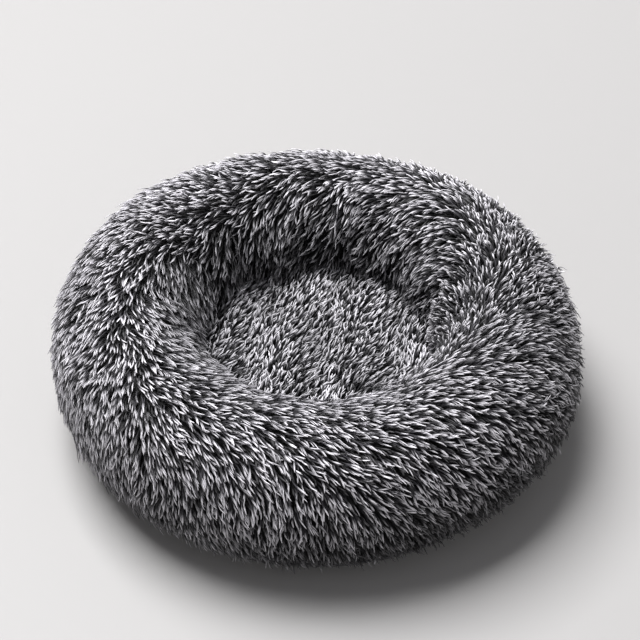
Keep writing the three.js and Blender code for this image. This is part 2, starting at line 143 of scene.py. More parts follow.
# `flat` gives every corner of every face its place on the cloth, in metres
def meshFrom(name, points, faces, material=None, smooth=True, flat=None):
    mesh = bpy.data.meshes.new(name)
    mesh.from_pydata([tuple(p) for p in points], [], faces)
    if flat is not None:
        mesh.uv_layers.new(name="cloth").uv.foreach_set("vector", np.asarray(flat, np.float32).ravel())
    shape = bmesh.new()
    shape.from_mesh(mesh)
    bmesh.ops.recalc_face_normals(shape, faces=shape.faces)
    shape.to_mesh(mesh)
    shape.free()
    if smooth:
        mesh.shade_smooth()
        mesh.set_sharp_from_angle(angle=math.radians(50))
    return linkMesh(name, mesh, material)


# the two directions level round the bed at a turn: outwards, and on round it
def levelWays(turn):
    out = np.stack([np.cos(turn), np.sin(turn), 0 * turn], axis=-1)
    return out, np.stack([-np.sin(turn), np.cos(turn), 0 * turn], axis=-1)


# carries a closed profile of (radius, height) round the bed, from one turn to another
def turnedPiece(name, profile, start, end, segments, material, shift=None):
    profile = np.array(profile, float)
    number = len(profile)
    closed = end - start > full - 1e-6
    turn = np.linspace(start, end, segments + 1)
    kept = turn[:-1] if closed else turn
    column = kept[:, None]
    height = profile[None, :, 1] + 0 * column
    radius = profile[None, :, 0] + (shift(column, height) if shift else 0 * column)
    points = np.stack([radius * np.cos(column), radius * np.sin(column), height], axis=-1).reshape(-1, 3)
    edgeLength = np.linalg.norm(np.roll(profile, -1, 0) - profile, axis=1)
    over = np.concatenate([[0], np.cumsum(edgeLength)])
    middle = profile[:, 0].mean()
    faces, flat = [], []
    for i in range(segments):
        a, b = i * number, (i + 1) % len(kept) * number
        u0, u1 = turn[i] * middle, turn[i + 1] * middle
        for j in range(number):
            k = (j + 1) % number
            faces.append((a + j, b + j, b + k, a + k))
            flat += [(u0, over[j]), (u1, over[j]), (u1, over[j + 1]), (u0, over[j + 1])]
    if not closed:
        for side in (0, len(kept) - 1):
            faces.append(tuple(side * number + j for j in range(number)))
            flat += [(r, z) for r, z in profile]
    return meshFrom(name, points, faces, material, flat=flat)


# a rounded box as a profile of (radius, height)
def roundedBox(inner, outer, bottom, top, radius, steps=3):
    corners = ((outer, bottom, -90), (outer, top, 0), (inner, top, 90), (inner, bottom, 180))
    points = []
    for r, z, start in corners:
        centre = (r + (radius if r == inner else -radius), z + (radius if z == bottom else -radius))
        for step in range(steps + 1):
            a = math.radians(start + 90 * step / steps)
            points.append((centre[0] + radius * math.cos(a), centre[1] + radius * math.sin(a)))
    return points


# faces of a closed tube: rings of points one after another, and a cap on each end
def tubeFaces(rings, sides, start=0):
    faces = []
    for r in range(rings - 1):
        a, b = start + r * sides, start + (r + 1) * sides
        faces += [(a + c, a + (c + 1) % sides, b + (c + 1) % sides, b + c) for c in range(sides)]
    last = start + (rings - 1) * sides
    return faces + [tuple(range(start + sides - 1, start - 1, -1)), tuple(range(last, last + sides))]


# a row of stitches: short arched threads, each at a place, along a way, standing off by its facing
def stitchPiece(name, centre, way, facing, length, width, material):
    along = np.array([-0.5, -0.42, -0.2, 0.2, 0.42, 0.5])[None, :, None]
    lift = np.array([-0.5, 0.1, 0.5, 0.5, 0.1, -0.5])[None, :, None]
    size = np.array([0.5, 0.9, 1, 1, 0.9, 0.5])[None, :, None, None]
    sides, cuts = 5, along.size
    corner = np.arange(sides)[None, :, None] * full / sides
    side = unit(np.cross(facing, way))
    line = centre[:, None] + way[:, None] * along * length + facing[:, None] * lift * width
    ring = side[:, None] * np.cos(corner) + facing[:, None] * np.sin(corner)
    points = line[:, :, None] + ring[:, None] * (size * width / 2)
    faces = []
    for stitch in range(len(centre)):
        faces += tubeFaces(cuts, sides, stitch * cuts * sides)
    return meshFrom(name, points.reshape(-1, 3), faces, material)


# stitches all along a level line round the bed, on a face that looks outwards
def stitchesRound(name, radius, heights, start, end, thread, material):
    number = int((end - start) * radius / thread["pitch"])
    turn = start + (np.arange(number) + 0.5) * (end - start) / number
    turn = np.tile(turn, len(heights))
    out, roundWay = levelWays(turn)
    centre = radius * out
    centre[:, 2] = np.repeat(heights, number)
    return stitchPiece(name, centre, roundWay, out, thread["length"], thread["width"], material)


def nodeGroup(name, inputs, outputs):
    tree = bpy.data.node_groups.new(name, "ShaderNodeTree")
    for label, kind, value in inputs:
        socket = tree.interface.new_socket(name=label, in_out="INPUT", socket_type=kind)
        socket.default_value = value
    for label, kind in outputs:
        tree.interface.new_socket(name=label, in_out="OUTPUT", socket_type=kind)
    return tree, tree.nodes.new("NodeGroupInput"), tree.nodes.new("NodeGroupOutput")


def mathNode(tree, operation, a, b=0.5, clamp=False):
    node = tree.nodes.new("ShaderNodeMath")
    node.operation = operation
    node.use_clamp = clamp
    for slot, value in zip(node.inputs, (a, b)):
        if isinstance(value, (int, float)):
            slot.default_value = value
        else:
            tree.links.new(value, slot)
    return node.outputs[0]


def mixColor(tree, share, a, b, kind="MIX"):
    node = tree.nodes.new("ShaderNodeMix")
    node.data_type = "RGBA"
    node.blend_type = kind
    for slot, value in ((node.inputs[0], share), (node.inputs[6], a), (node.inputs[7], b)):
        if isinstance(value, (int, float, tuple)):
            slot.default_value = value
        else:
            tree.links.new(value, slot)
    return node.outputs[2]


# a colour made darker or paler: each of its parts times the gain
def gained(tree, color, gain):
    tint = tree.nodes.new("ShaderNodeCombineColor")
    for slot in tint.inputs:
        tree.links.new(gain, slot)
    return mixColor(tree, 1.0, color, tint.outputs[0], "MULTIPLY")


# from 0 at `low` to 1 at `high`; both may be another node's output
def rampNode(tree, value, low, high):
    node = tree.nodes.new("ShaderNodeMapRange")
    for label, given in (("Value", value), ("From Min", low), ("From Max", high)):
        if isinstance(given, (int, float)):
            node.inputs[label].default_value = given
        else:
            tree.links.new(given, node.inputs[label])
    return node.outputs[0]


# noise at a real scale, over the object's own coordinates
def noiseNode(tree, **values):
    place = tree.nodes.new("ShaderNodeTexCoord")
    noise = tree.nodes.new("ShaderNodeTexNoise")
    for label, value in values.items():
        noise.inputs[label].default_value = value
    tree.links.new(place.outputs["Object"], noise.inputs["Vector"])
    return noise


# shade of one strand of pile: dark down in the pile, paler towards the tip, each lock its own tone; the
# near-black root and middle are partly the fur's own dark base and partly painted shade in the gaps between
# locks
def buildPileShade():
    tree, given, out = nodeGroup(
        "pileShade",
        [("Tone", "NodeSocketFloat", 0.5), ("Along", "NodeSocketFloat", 0.5),
         ("Root", "NodeSocketColor", (0.02, 0.02, 0.02, 1)),
         ("Middle", "NodeSocketColor", (0.2, 0.2, 0.2, 1)),
         ("Tip", "NodeSocketColor", (0.5, 0.5, 0.5, 1)), ("Tone Spread", "NodeSocketFloat", 0.5),
         ("Middle At", "NodeSocketFloat", 0.5), ("Pale From", "NodeSocketFloat", 0.6),
         ("Pale To", "NodeSocketFloat", 0.8)],
        [("Color", "NodeSocketColor")],
    )
    lowHalf = rampNode(tree, given.outputs["Along"], 0.0, given.outputs["Middle At"])
    highHalf = rampNode(tree, given.outputs["Along"], given.outputs["Pale From"], given.outputs["Pale To"])
    lower = mixColor(tree, lowHalf, given.outputs["Root"], given.outputs["Middle"])
    whole = mixColor(tree, highHalf, lower, given.outputs["Tip"])
    centred = mathNode(tree, "SUBTRACT", given.outputs["Tone"], 0.5)
    scaled = mathNode(tree, "MULTIPLY", centred, given.outputs["Tone Spread"])
    gain = mathNode(tree, "ADD", scaled, 1.0)
    tree.links.new(gained(tree, whole, gain), out.inputs["Color"])
    return tree


# a place on the cloth counted in threads, across and along
def threadPlace(tree, given, label):
    parts = tree.nodes.new("ShaderNodeSeparateXYZ")
    tree.links.new(given.outputs["Place"], parts.inputs[0])
    return [mathNode(tree, "MULTIPLY", parts.outputs[side], given.outputs[label]) for side in (0, 1)]


# rounded ridges, one for each half turn of the sine
def ridges(tree, value, turn):
    return mathNode(tree, "ABSOLUTE", mathNode(tree, "SINE", mathNode(tree, "MULTIPLY", value, turn)))


def mixValue(tree, share, a, b):
    node = tree.nodes.new("ShaderNodeMix")
    for slot, value in ((0, share), (2, a), (3, b)):
        tree.links.new(value, node.inputs[slot])
    return node.outputs[0]


# threads woven over and under each other; Twill steps each row along, as a herringbone tape has it
def buildWeave():
    tree, given, out = nodeGroup(
        "weave",
        [("Place", "NodeSocketVector", (0, 0, 0)), ("Threads Per Metre", "NodeSocketFloat", 1500.0),
         ("Twill", "NodeSocketFloat", 0.0)],
        [("Height", "NodeSocketFloat"), ("Over", "NodeSocketFloat")],
    )
    u, v = threadPlace(tree, given, "Threads Per Metre")
    cells = mathNode(tree, "ADD", mathNode(tree, "FLOOR", u), mathNode(tree, "FLOOR", v))
    plain = mathNode(tree, "FLOORED_MODULO", cells, 2.0)
    steps = mathNode(tree, "FLOORED_MODULO", cells, 4.0)
    twilled = mathNode(tree, "LESS_THAN", steps, 1.5)
    over = mixValue(tree, given.outputs["Twill"], plain, twilled)
    height = mixValue(tree, over, ridges(tree, u, math.pi), ridges(tree, v, math.pi))
    tree.links.new(height, out.inputs["Height"])
    tree.links.new(over, out.inputs["Over"])
    return tree


# rows of knitted loops, as on the back of fur cloth
def buildKnit():
    tree, given, out = nodeGroup(
        "knit",
        [("Place", "NodeSocketVector", (0, 0, 0)), ("Loops Per Metre", "NodeSocketFloat", 700.0)],
        [("Height", "NodeSocketFloat")],
    )
    u, v = threadPlace(tree, given, "Loops Per Metre")
    shifted = mathNode(tree, "ADD", v, mathNode(tree, "PINGPONG", u, 0.5))
    loops = mathNode(tree, "MULTIPLY", ridges(tree, shifted, math.pi), ridges(tree, u, full))
    tree.links.new(loops, out.inputs["Height"])
    return tree


# slow patches of a darker and a paler tone, and fine grain, over any colour
def buildAge():
    tree, given, out = nodeGroup(
        "age",
        [("Color", "NodeSocketColor", (0.5, 0.5, 0.5, 1)), ("Patch Size", "NodeSocketFloat", 0.05),
         ("Patches", "NodeSocketFloat", 0.3), ("Grain", "NodeSocketFloat", 0.2)],
        [("Color", "NodeSocketColor"), ("Mask", "NodeSocketFloat")],
    )
    slow = noiseNode(tree, Detail=4)
    tree.links.new(mathNode(tree, "DIVIDE", 1.0, given.outputs["Patch Size"]), slow.inputs["Scale"])
    fine = noiseNode(tree, Scale=2500)
    gain = 1.0
    for noise, label in ((slow, "Patches"), (fine, "Grain")):
        centred = mathNode(tree, "SUBTRACT", noise.outputs["Fac"], 0.5)
        gain = mathNode(tree, "ADD", mathNode(tree, "MULTIPLY", centred, given.outputs[label]), gain)
    tree.links.new(gained(tree, given.outputs["Color"], gain), out.inputs["Color"])
    tree.links.new(slow.outputs["Fac"], out.inputs["Mask"])
    return tree


groups = {"pileShade": buildPileShade(), "weave": buildWeave(), "knit": buildKnit(), "age": buildAge()}
print("shader groups made")


def newMaterial(name, roughness, **values):
    material = bpy.data.materials.new(name)
    material.use_nodes = True
    tree = material.node_tree
    shader = tree.nodes["Principled BSDF"]
    shader.inputs["Roughness"].default_value = roughness
    for label, value in values.items():
        shader.inputs[label.replace("_", " ")].default_value = value
    return material, tree, shader


def placeGroup(tree, name, **values):
    node = tree.nodes.new("ShaderNodeGroup")
    node.node_tree = groups[name]
    for label, value in values.items():
        node.inputs[label.replace("_", " ")].default_value = value
    return node


# colours along a strand: the near-black root and middle colours are partly the fur's own dark base and
# partly painted shade in the gaps between locks
pileLookAndShade = {
    "root": (0.0028, 0.0026, 0.0031, 1),
    "middle": (0.029, 0.0275, 0.0325, 1),
    "tip": (0.64, 0.626, 0.662, 1),
    "toneSpread": 1.9,
    # places along a strand: where it has the middle colour, and where it turns to the tip's
    "middleAt": 0.4545,
    "paleFrom": 0.62,
    "paleTo": 0.82,
    "roughness": 0.62,
    "sheen": 0.12,
}


def mapNamed(tree, name):
    where = tree.nodes.new("ShaderNodeUVMap")
    where.uv_map = name
    return where.outputs[0]


# the strands' own map holds (tone, place along the strand)
def pileMaterial():
    f = pileLookAndShade
    material, tree, shader = newMaterial("fur_pile", f["roughness"], Specular_IOR_Level=0.3,
                                         Sheen_Weight=f["sheen"], Sheen_Roughness=0.4)
    parts = tree.nodes.new("ShaderNodeSeparateXYZ")
    tree.links.new(mapNamed(tree, "OFBake"), parts.inputs[0])
    shade = placeGroup(tree, "pileShade", Root=f["root"], Middle=f["middle"], Tip=f["tip"],
                       Tone_Spread=f["toneSpread"], Middle_At=f["middleAt"], Pale_From=f["paleFrom"],
                       Pale_To=f["paleTo"])
    tree.links.new(parts.outputs[0], shade.inputs["Tone"])
    tree.links.new(parts.outputs[1], shade.inputs["Along"])
    tree.links.new(shade.outputs[0], shader.inputs["Base Color"])
    return material


furPile = pileMaterial()


def bumpInto(tree, shader, height, strength, distance):
    bump = tree.nodes.new("ShaderNodeBump")
    bump.inputs["Strength"].default_value = strength
    bump.inputs["Distance"].default_value = distance
    tree.links.new(height, bump.inputs["Height"])
    tree.links.new(bump.outputs[0], shader.inputs["Normal"])


# the colour, with its patches and grain, goes into the shader
def agedColor(tree, shader, color, size, patches, grain):
    age = placeGroup(tree, "age", Patch_Size=size, Patches=patches, Grain=grain)
    if isinstance(color, tuple):
        age.inputs["Color"].default_value = color
    else:
        tree.links.new(color, age.inputs["Color"])
    tree.links.new(age.outputs["Color"], shader.inputs["Base Color"])
    return age


# woven cloth: threads at their real pitch, painted shade in the dips between them, patches of wear, and a
# soft sheen
def wovenMaterial(name, color, threads, twill=0.0, depth=0.12 * mm, roughness=0.85, sheen=0.2, shade=0.6,
                  patches=0.35):
    material, tree, shader = newMaterial(name, roughness, Sheen_Weight=sheen, Specular_IOR_Level=0.3)
    weave = placeGroup(tree, "weave", Threads_Per_Metre=threads, Twill=twill)
    tree.links.new(mapNamed(tree, "cloth"), weave.inputs["Place"])
    # the dips between the threads are painted darker, times `shade`: painted shade
    between = tuple(c * shade for c in color) + (1,)
    mixed = mixColor(tree, weave.outputs["Height"], between, tuple(color) + (1,))
    agedColor(tree, shader, mixed, 0.06, patches, 0.25)
    bumpInto(tree, shader, weave.outputs["Height"], 0.8, depth)
    return material


def knitMaterial():
    material, tree, shader = newMaterial("fur_backing", 0.92, Sheen_Weight=0.1)
    knit = placeGroup(tree, "knit", Loops_Per_Metre=700.0)
    tree.links.new(mapNamed(tree, "cloth"), knit.inputs["Place"])
    # the hollows between the loops are painted darker than the loops: painted shade
    mixed = mixColor(tree, knit.outputs[0], (0.008, 0.0078, 0.0085, 1), (0.03, 0.029, 0.032, 1))
    agedColor(tree, shader, mixed, 0.05, 0.4, 0.3)
    bumpInto(tree, shader, knit.outputs[0], 0.7, 0.3 * mm)
    return material


# spunbonded liner: matted fibres, pressed together at small points
def linerMaterial():
    material, tree, shader = newMaterial("spunbond_liner", 0.8, Sheen_Weight=0.15)
    points = placeGroup(tree, "weave", Threads_Per_Metre=450.0, Twill=0.0)
    tree.links.new(mapNamed(tree, "cloth"), points.inputs["Place"])
    pressed = mathNode(tree, "GREATER_THAN", points.outputs["Height"], 0.75)
    mixed = mixColor(tree, pressed, (0.78, 0.77, 0.74, 1), (0.66, 0.65, 0.62, 1))
    agedColor(tree, shader, mixed, 0.03, 0.25, 0.35)
    bumpInto(tree, shader, mathNode(tree, "SUBTRACT", 1.0, pressed), 0.5, 0.15 * mm)
    return material


def fibreMaterial():
    material, tree, shader = newMaterial("polyester_fibre", 0.95, Sheen_Weight=0.3)
    tangled = noiseNode(tree, Scale=400, Detail=6, Distortion=2.5).outputs["Fac"]
    # darker where the tangled fibres dip, from the same noise as the bump: painted shade
    mixed = mixColor(tree, tangled, (0.62, 0.61, 0.6, 1), (0.92, 0.91, 0.89, 1))
    agedColor(tree, shader, mixed, 0.04, 0.2, 0.2)
    bumpInto(tree, shader, tangled, 0.8, 1.5 * mm)
    return material


# painted zinc: small marks and scuffs that change how it shines
def zipMetalMaterial():
    material, tree, shader = newMaterial("zip_metal", 0.38, Metallic=0.85)
    marks = noiseNode(tree, Scale=900, Detail=5, Roughness=0.7).outputs["Fac"]
    shine = tree.nodes.new("ShaderNodeMapRange")
    for label, value in (("To Min", 0.28), ("To Max", 0.55)):
        shine.inputs[label].default_value = value
    tree.links.new(marks, shine.inputs["Value"])
    tree.links.new(shine.outputs[0], shader.inputs["Roughness"])
    agedColor(tree, shader, (0.21, 0.21, 0.217, 1), 0.004, 0.5, 0.3)
    bumpInto(tree, shader, marks, 0.3, 0.05 * mm)
    return material


def plasticMaterial(name, color, roughness):
    material, tree, shader = newMaterial(name, roughness, Coat_Weight=0.15)
    age = agedColor(tree, shader, color, 0.01, 0.35, 0.3)
    bumpInto(tree, shader, age.outputs["Mask"], 0.2, 0.1 * mm)
    return material


furBacking = knitMaterial()
baseCloth = wovenMaterial("base_cloth", (0.08, 0.079, 0.084), 1300.0)
bindingTape = wovenMaterial("binding_tape", (0.06, 0.06, 0.064), 1600.0, twill=1.0, sheen=0.25)
zipTape = wovenMaterial("zip_tape", (0.09, 0.09, 0.097), 2000.0, twill=1.0, sheen=0.3)
labelSatin = wovenMaterial("label_satin", (0.6, 0.6, 0.585), 4000.0, twill=1.0, depth=0.04 * mm,
                           roughness=0.45, shade=0.85, patches=0.12)
sewingThread = plasticMaterial("sewing_thread", (0.14, 0.14, 0.147, 1), 0.6)
paleThread = plasticMaterial("pale_thread", (0.45, 0.45, 0.435, 1), 0.6)
spunbond = linerMaterial()
fibre = fibreMaterial()
coilNylon = plasticMaterial("coil_nylon", (0.035, 0.035, 0.038, 1), 0.35)
gripRubber = plasticMaterial("grip_rubber", (0.035, 0.035, 0.038, 1), 0.7)
zipMetal = zipMetalMaterial()
print("materials made")

cover = {
    "turns": 220,
    "steps": 44,
    "inset": 20 * mm,
    "thickness": 1.5 * mm,
    "slack": 3 * mm,
    "creaseWidth": 2.2,  # degrees each side that stay drawn in
    "creaseFrom": 115,  # degrees over the cover
    "pressure": 4,
    "stiffness": 12,
    "shear": 4,
    "bending": 0.4,
    "quality": 6,
    "mass": 0.2,
    "spareCloth": 0.05,
    "frames": 20,
    "mostMove": 8 * mm,
    "fill": 0.85,
}


def ringGrid(turns, steps, inset):
    turn = np.linspace(0, full, turns, endpoint=False)[:, None]
    angle = np.linspace(bolster["outerEnd"], bolster["innerEnd"], steps + 1)[None, :]
    return stuffed(bolsterPoints(turn + 0 * angle, angle + 0 * turn, inset))


def gridFaces(turns, steps):
    number = steps + 1
    starts = [(i * number, (i + 1) % turns * number) for i in range(turns)]
    return [(a + j, b + j, b + j + 1, a + j + 1) for a, b in starts for j in range(steps)]


coverRest = ringGrid(cover["turns"], cover["steps"], cover["inset"])


# fills the cover like a stuffed ring: air pressure from inside, held at its seams and at the creases
def stuffCover():
    c = cover
    start = ringGrid(c["turns"], c["steps"], c["inset"] + c["slack"])
    piece = meshFrom("cover_stuffing", start.reshape(-1, 3), gridFaces(c["turns"], c["steps"]))
    turn = np.degrees(np.linspace(0, full, c["turns"], endpoint=False))[:, None]
    angle = np.degrees(np.linspace(bolster["outerEnd"], bolster["innerEnd"], c["steps"] + 1))[None, :]
    hold = np.zeros(start.shape[:2])
    hold[:, :2] = 1
    hold[:, -2:] = 1
    for middle, _ in bolster["creases"]:
        away = np.abs(turnAway(turn, middle))
        hold = np.maximum(hold, (away < c["creaseWidth"]) * (angle > c["creaseFrom"]))
    group = piece.vertex_groups.new(name="held")
    for index in np.flatnonzero(hold.ravel()):
        group.add([int(index)], 1.0, "REPLACE")
    cloth = piece.modifiers.new("stuffing", "CLOTH")
    settings = cloth.settings
    settings.quality = c["quality"]
    settings.mass = c["mass"]
    settings.tension_stiffness = settings.compression_stiffness = c["stiffness"]
    settings.shear_stiffness = c["shear"]
    settings.bending_stiffness = c["bending"]
    settings.use_pressure = True
    settings.uniform_pressure_force = c["pressure"]
    settings.shrink_min = -c["spareCloth"]
    settings.vertex_group_mass = "held"
    settings.effector_weights.gravity = 0
    scene = bpy.context.scene
    for number in range(1, c["frames"] + 1):
        scene.frame_set(number)
    evaluated = piece.evaluated_get(bpy.context.evaluated_depsgraph_get())
    moved = np.empty(start.size, np.float32)
    evaluated.data.vertices.foreach_get("co", moved)
    moved = moved.reshape(start.shape).astype(float)
    scene.frame_set(1)
    bpy.data.objects.remove(piece)
    away = moved - coverRest
    size = np.linalg.norm(away, axis=-1, keepdims=True)
    share = np.tanh(size / c["mostMove"]) * c["mostMove"] / np.maximum(size, 1e-9)
    print("cover stuffed, moved", round(float(size.mean()) / mm, 1), "mm on average")
    return coverRest + away * share


coverGrid = stuffCover()


# the cover's outward direction at every point of its grid
def gridFacing(grid, wrapSteps=False):
    roundWay = np.roll(grid, -1, 0) - np.roll(grid, 1, 0)
    if wrapSteps:
        over = np.roll(grid, -1, 1) - np.roll(grid, 1, 1)
    else:
        over = np.gradient(grid, axis=1)
    return unit(np.cross(roundWay, over))


# a place on the cover's grid at any (turn, angle), and which way the cloth faces there
def onCover(grid, turn, angle):
    turns, steps = grid.shape[0], grid.shape[1] - 1
    u = (turn / full * turns) % turns
    v = (angle - bolster["outerEnd"]) / (bolster["innerEnd"] - bolster["outerEnd"]) * steps
    v = np.clip(v, 0, steps - 1e-6)
    i, j = np.floor(u).astype(int), np.floor(v).astype(int)
    fu, fv = (u - i)[..., None], (v - j)[..., None]
    i0, i1 = i % turns, (i + 1) % turns
    a, b, c, d = grid[i0, j], grid[i1, j], grid[i0, j + 1], grid[i1, j + 1]
    point = a * (1 - fu) * (1 - fv) + b * fu * (1 - fv) + c * (1 - fu) * fv + d * fu * fv
    roundWay = unit((b - a) * (1 - fv) + (d - c) * fv)
    over = unit((c - a) * (1 - fu) + (d - b) * fu)
    return point, roundWay, over, unit(np.cross(roundWay, over))


# a closed shell from two grids of points, its faces; with None for `inside` it is a solid ring
def gridShell(name, outside, inside, material, closedRound, closedOver):
    turns, number = outside.shape[:2]
    spans = turns if closedRound else turns - 1
    steps = number if closedOver else number - 1
    stepLength = np.linalg.norm(np.roll(outside[0], -1, 0) - outside[0], axis=1)
    lengthOver = np.concatenate([[0], np.cumsum(stepLength)])
    radius = np.hypot(outside[..., 0], outside[..., 1]).mean()
    cell = full * radius / cover["turns"]  # the length of one face along the round
    faces, flat = [], []

    def sheetOf(offset, flip):
        for i in range(spans):
            for j in range(steps):
                a, b, k = i, (i + 1) % turns, (j + 1) % number
                quad = [(a, j, i, j), (b, j, i + 1, j), (b, k, i + 1, j + 1), (a, k, i, j + 1)]
                quad = quad[::-1] if flip else quad
                faces.append(tuple(offset + p * number + q for p, q, _, _ in quad))
                flat.extend((u * cell, lengthOver[v]) for _, _, u, v in quad)

    sheetOf(0, False)
    points = outside.reshape(-1, 3)
    if inside is not None:
        sheetOf(turns * number, True)
        points = np.concatenate([points, inside.reshape(-1, 3)])
        edges = []
        if not closedOver:
            for j in (0, number - 1):
                edges += [(i * number + j, (i + 1) % turns * number + j) for i in range(spans)]
        if not closedRound:
            for i in (0, turns - 1):
                edges += [(i * number + j, i * number + j + 1) for j in range(steps)]
        for a, b in edges:
            faces.append((a, b, b + turns * number, a + turns * number))
            flat.extend([(0, 0), (cell, 0), (cell, cell), (0, cell)])
    return meshFrom(name, points, faces, material, flat=flat)


# gives a piece its body, and hides the nodes that it stands for
def finishPiece(piece, slotName, *nodes, body="bed"):
    if nodes:
        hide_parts(*nodes)
    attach(piece, body)
    return piece


# the cover is two strips of fur cloth, joined at the cross seams
def addCover():
    c = cover
    inside = coverGrid - gridFacing(coverGrid) * c["thickness"]
    seam = round(bolster["crossSeam"] / full * c["turns"])
    half = c["turns"] // 2
    places = {"front": np.arange(seam, seam + half + 1), "back": np.arange(seam + half, seam + 2 * half + 1)}
    for side, rows in places.items():
        rows = rows % c["turns"]
        skin = gridShell(f"ring_backing_{side}", coverGrid[rows], inside[rows], furBacking, False, False)
        finishPiece(skin, "fur", f"ring_cover_{side}")


addCover()
print("ring cover sewn")

cushion = {
    "linerInset": 22.3 * mm,
    "linerThickness": 1 * mm,
    "fillInset": 24.3 * mm,
    "floor": 3 * mm,
    "turns": 220,
    "steps": 64,
    "lumps": 1.2 * mm,
    "fill": 0.8,
    # degrees over the cover between which the cushion follows it closely, each end fading in
    "follows": (-44, -20, 170, 193),
}


# the ring cushion's whole section, under the cover where there is one and flat on the base below
def cushionGrid(inset, floor):
    c = cushion
    turn = np.linspace(0, full, c["turns"], endpoint=False)[:, None]
    angle = np.linspace(0, full, c["steps"], endpoint=False)[None, :]
    angle, turn = angle + 0 * turn, turn + 0 * angle
    points = bolsterPoints(turn, angle, inset)
    points[..., 2] = np.maximum(points[..., 2], floor)
    points = stuffed(points)
    seen = np.where(angle > math.radians(270), angle - full, angle)
    first, second, third, last = c["follows"]
    held = smoothStep(np.degrees(seen), first, second) * (1 - smoothStep(np.degrees(seen), third, last))
    point, _, _, facing = onCover(coverGrid, turn, np.clip(seen, bolster["outerEnd"], bolster["innerEnd"]))
    under = point - facing * (inset - cover["inset"])
    return points + (under - points) * held[..., None]


def addRingCushion():
    c = cushion
    outside = cushionGrid(c["linerInset"], c["floor"])
    inside = cushionGrid(c["linerInset"] + c["linerThickness"], c["floor"] + c["linerThickness"])
    half = c["steps"] // 2
    for side, first, lift in (("upper", 0, 1), ("lower", half, -1)):
        rows = np.arange(first, first + half + 1) % c["steps"]
        shift = np.array([0, 0, lift * seamGap / 2])
        piece = gridShell(f"ring_inner_cover_{side}", outside[:, rows] + shift, inside[:, rows] + shift,
                          spunbond, True, False)
        finishPiece(piece, "liner", f"ring_liner_{side}")
    grid = cushionGrid(c["fillInset"], c["floor"] + c["fillInset"] - c["linerInset"])
    turn = np.linspace(0, full, c["turns"], endpoint=False)[:, None]
    angle = np.linspace(0, full, c["steps"], endpoint=False)[None, :]
    lumps = c["lumps"] * (unevenness(turn, angle, (8, 30), 41) * 0.5 + 0.8)
    uneven = grid - gridFacing(grid, True) * lumps[..., None]
    fill = gridShell("ring_fibre_filling", uneven, None, fibre, True, True)
    finishPiece(fill, "filling", "ring_fill")


addRingCushion()
print("ring cushion made")

fur = {
    "rowPitch": 4.35 * mm,
    "rootSpread": 0.3,  # how far roots stray from their rows, as a share of the pitch
    "strandsPerLock": 3,
    "lockRadius": 2.2 * mm,
    "length": 24 * mm,
    "width": 1.3 * mm,
    "rings": (0, 0.22, 0.42, 0.6, 0.78, 0.94),
    "ringSizes": (0.9, 1.0, 1.0, 1.0, 0.92, 0.68),
    "rootLean": 26,  # degrees from upright, at the root and at the tip
    "tipLean": 88,
    "leanRate": 0.8,
    "swerve": 0.35,
    "gatherBy": 0.42,  # share of the length by which a lock's strands have come together
    "gathered": 0.92,
    "stray": 0.4 * mm,
    "lengthSpread": 0.1,
    "droop": 0.3,
    "wave": 1.2 * mm,
    "waveTurns": 1.1,
    "pieceStrands": 5700,
    "floorGap": 1.5 * mm,
    "toneMiddle": 0.77,
    "toneSpread": 0.12,
    # the undercoat's very dark tone is partly its own colour and partly painted shade in the gaps between
    # locks
    "underShare": 0.38,  # the pile's dark, shorter undercoat
    "underTone": 0.06,
    "underLength": 0.8,
    # painted shade: places where the pile's tone is lowered to stand in for shade, as middle turn, middle
    # angle, reach of each in degrees, and by how much
    "paintedShade": ((180, 142, 40, 32, 0.38), (92, 165, 60, 42, 0.56), (0, 165, 60, 32, 0.2),
               (265, 170, 60, 32, 0.36),
               (272, -22, 75, 42, 0.66), (332, -20, 44, 46, 0.62), (20, -30, 60, 34, 0.28),
               (140, -30, 90, 30, 0.2),
               (352, 70, 36, 60, 0.32), (205, 20, 44, 44, 0.18)),
    # the pile is cut short over the zip, so that it doesn't catch: turn from, turn to, share of the length
    "trimmed": (7, 166, 0.36),
    "trimFade": 6,  # degrees round the bed
    "trimBelow": (-32, -6),  # degrees over the cover between which the cut fades out
}
brushed = {
    # where the pile parts, as (turn, angle over the cover) in degrees
    "parting": ((0, 122), (35, 84), (62, 78), (92, 88), (122, 124), (150, 132), (185, 97), (216, 84),
                (238, 74),
                (258, 112), (300, 124), (335, 126)),
    # patches combed along the round: middle turn, middle angle, reach of each in degrees, strength
    "combed": ((266, 84, 34, 42, 1.5), (352, 96, 26, 45, 1.0), (165, 60, 30, 40, 0.5),
               (308, 40, 30, 50, 0.5)),
    "alongEverywhere": 0.4,
    "alongAtParting": 0.75,
    "alongDrift": 0.2,
    "overDrift": 0.18,
    "partingDrift": 4,
    "partingWidth": 24,
    "leastFlat": 0.5,
}


# 1 in the middle of a place on the cover, fading to 0 round it
def patch(turn, angle, middle, height, reach, tall):
    away = turnAway(np.degrees(turn), middle)
    return np.exp(-(away / reach) ** 2 - ((np.degrees(angle) - height) / tall) ** 2)


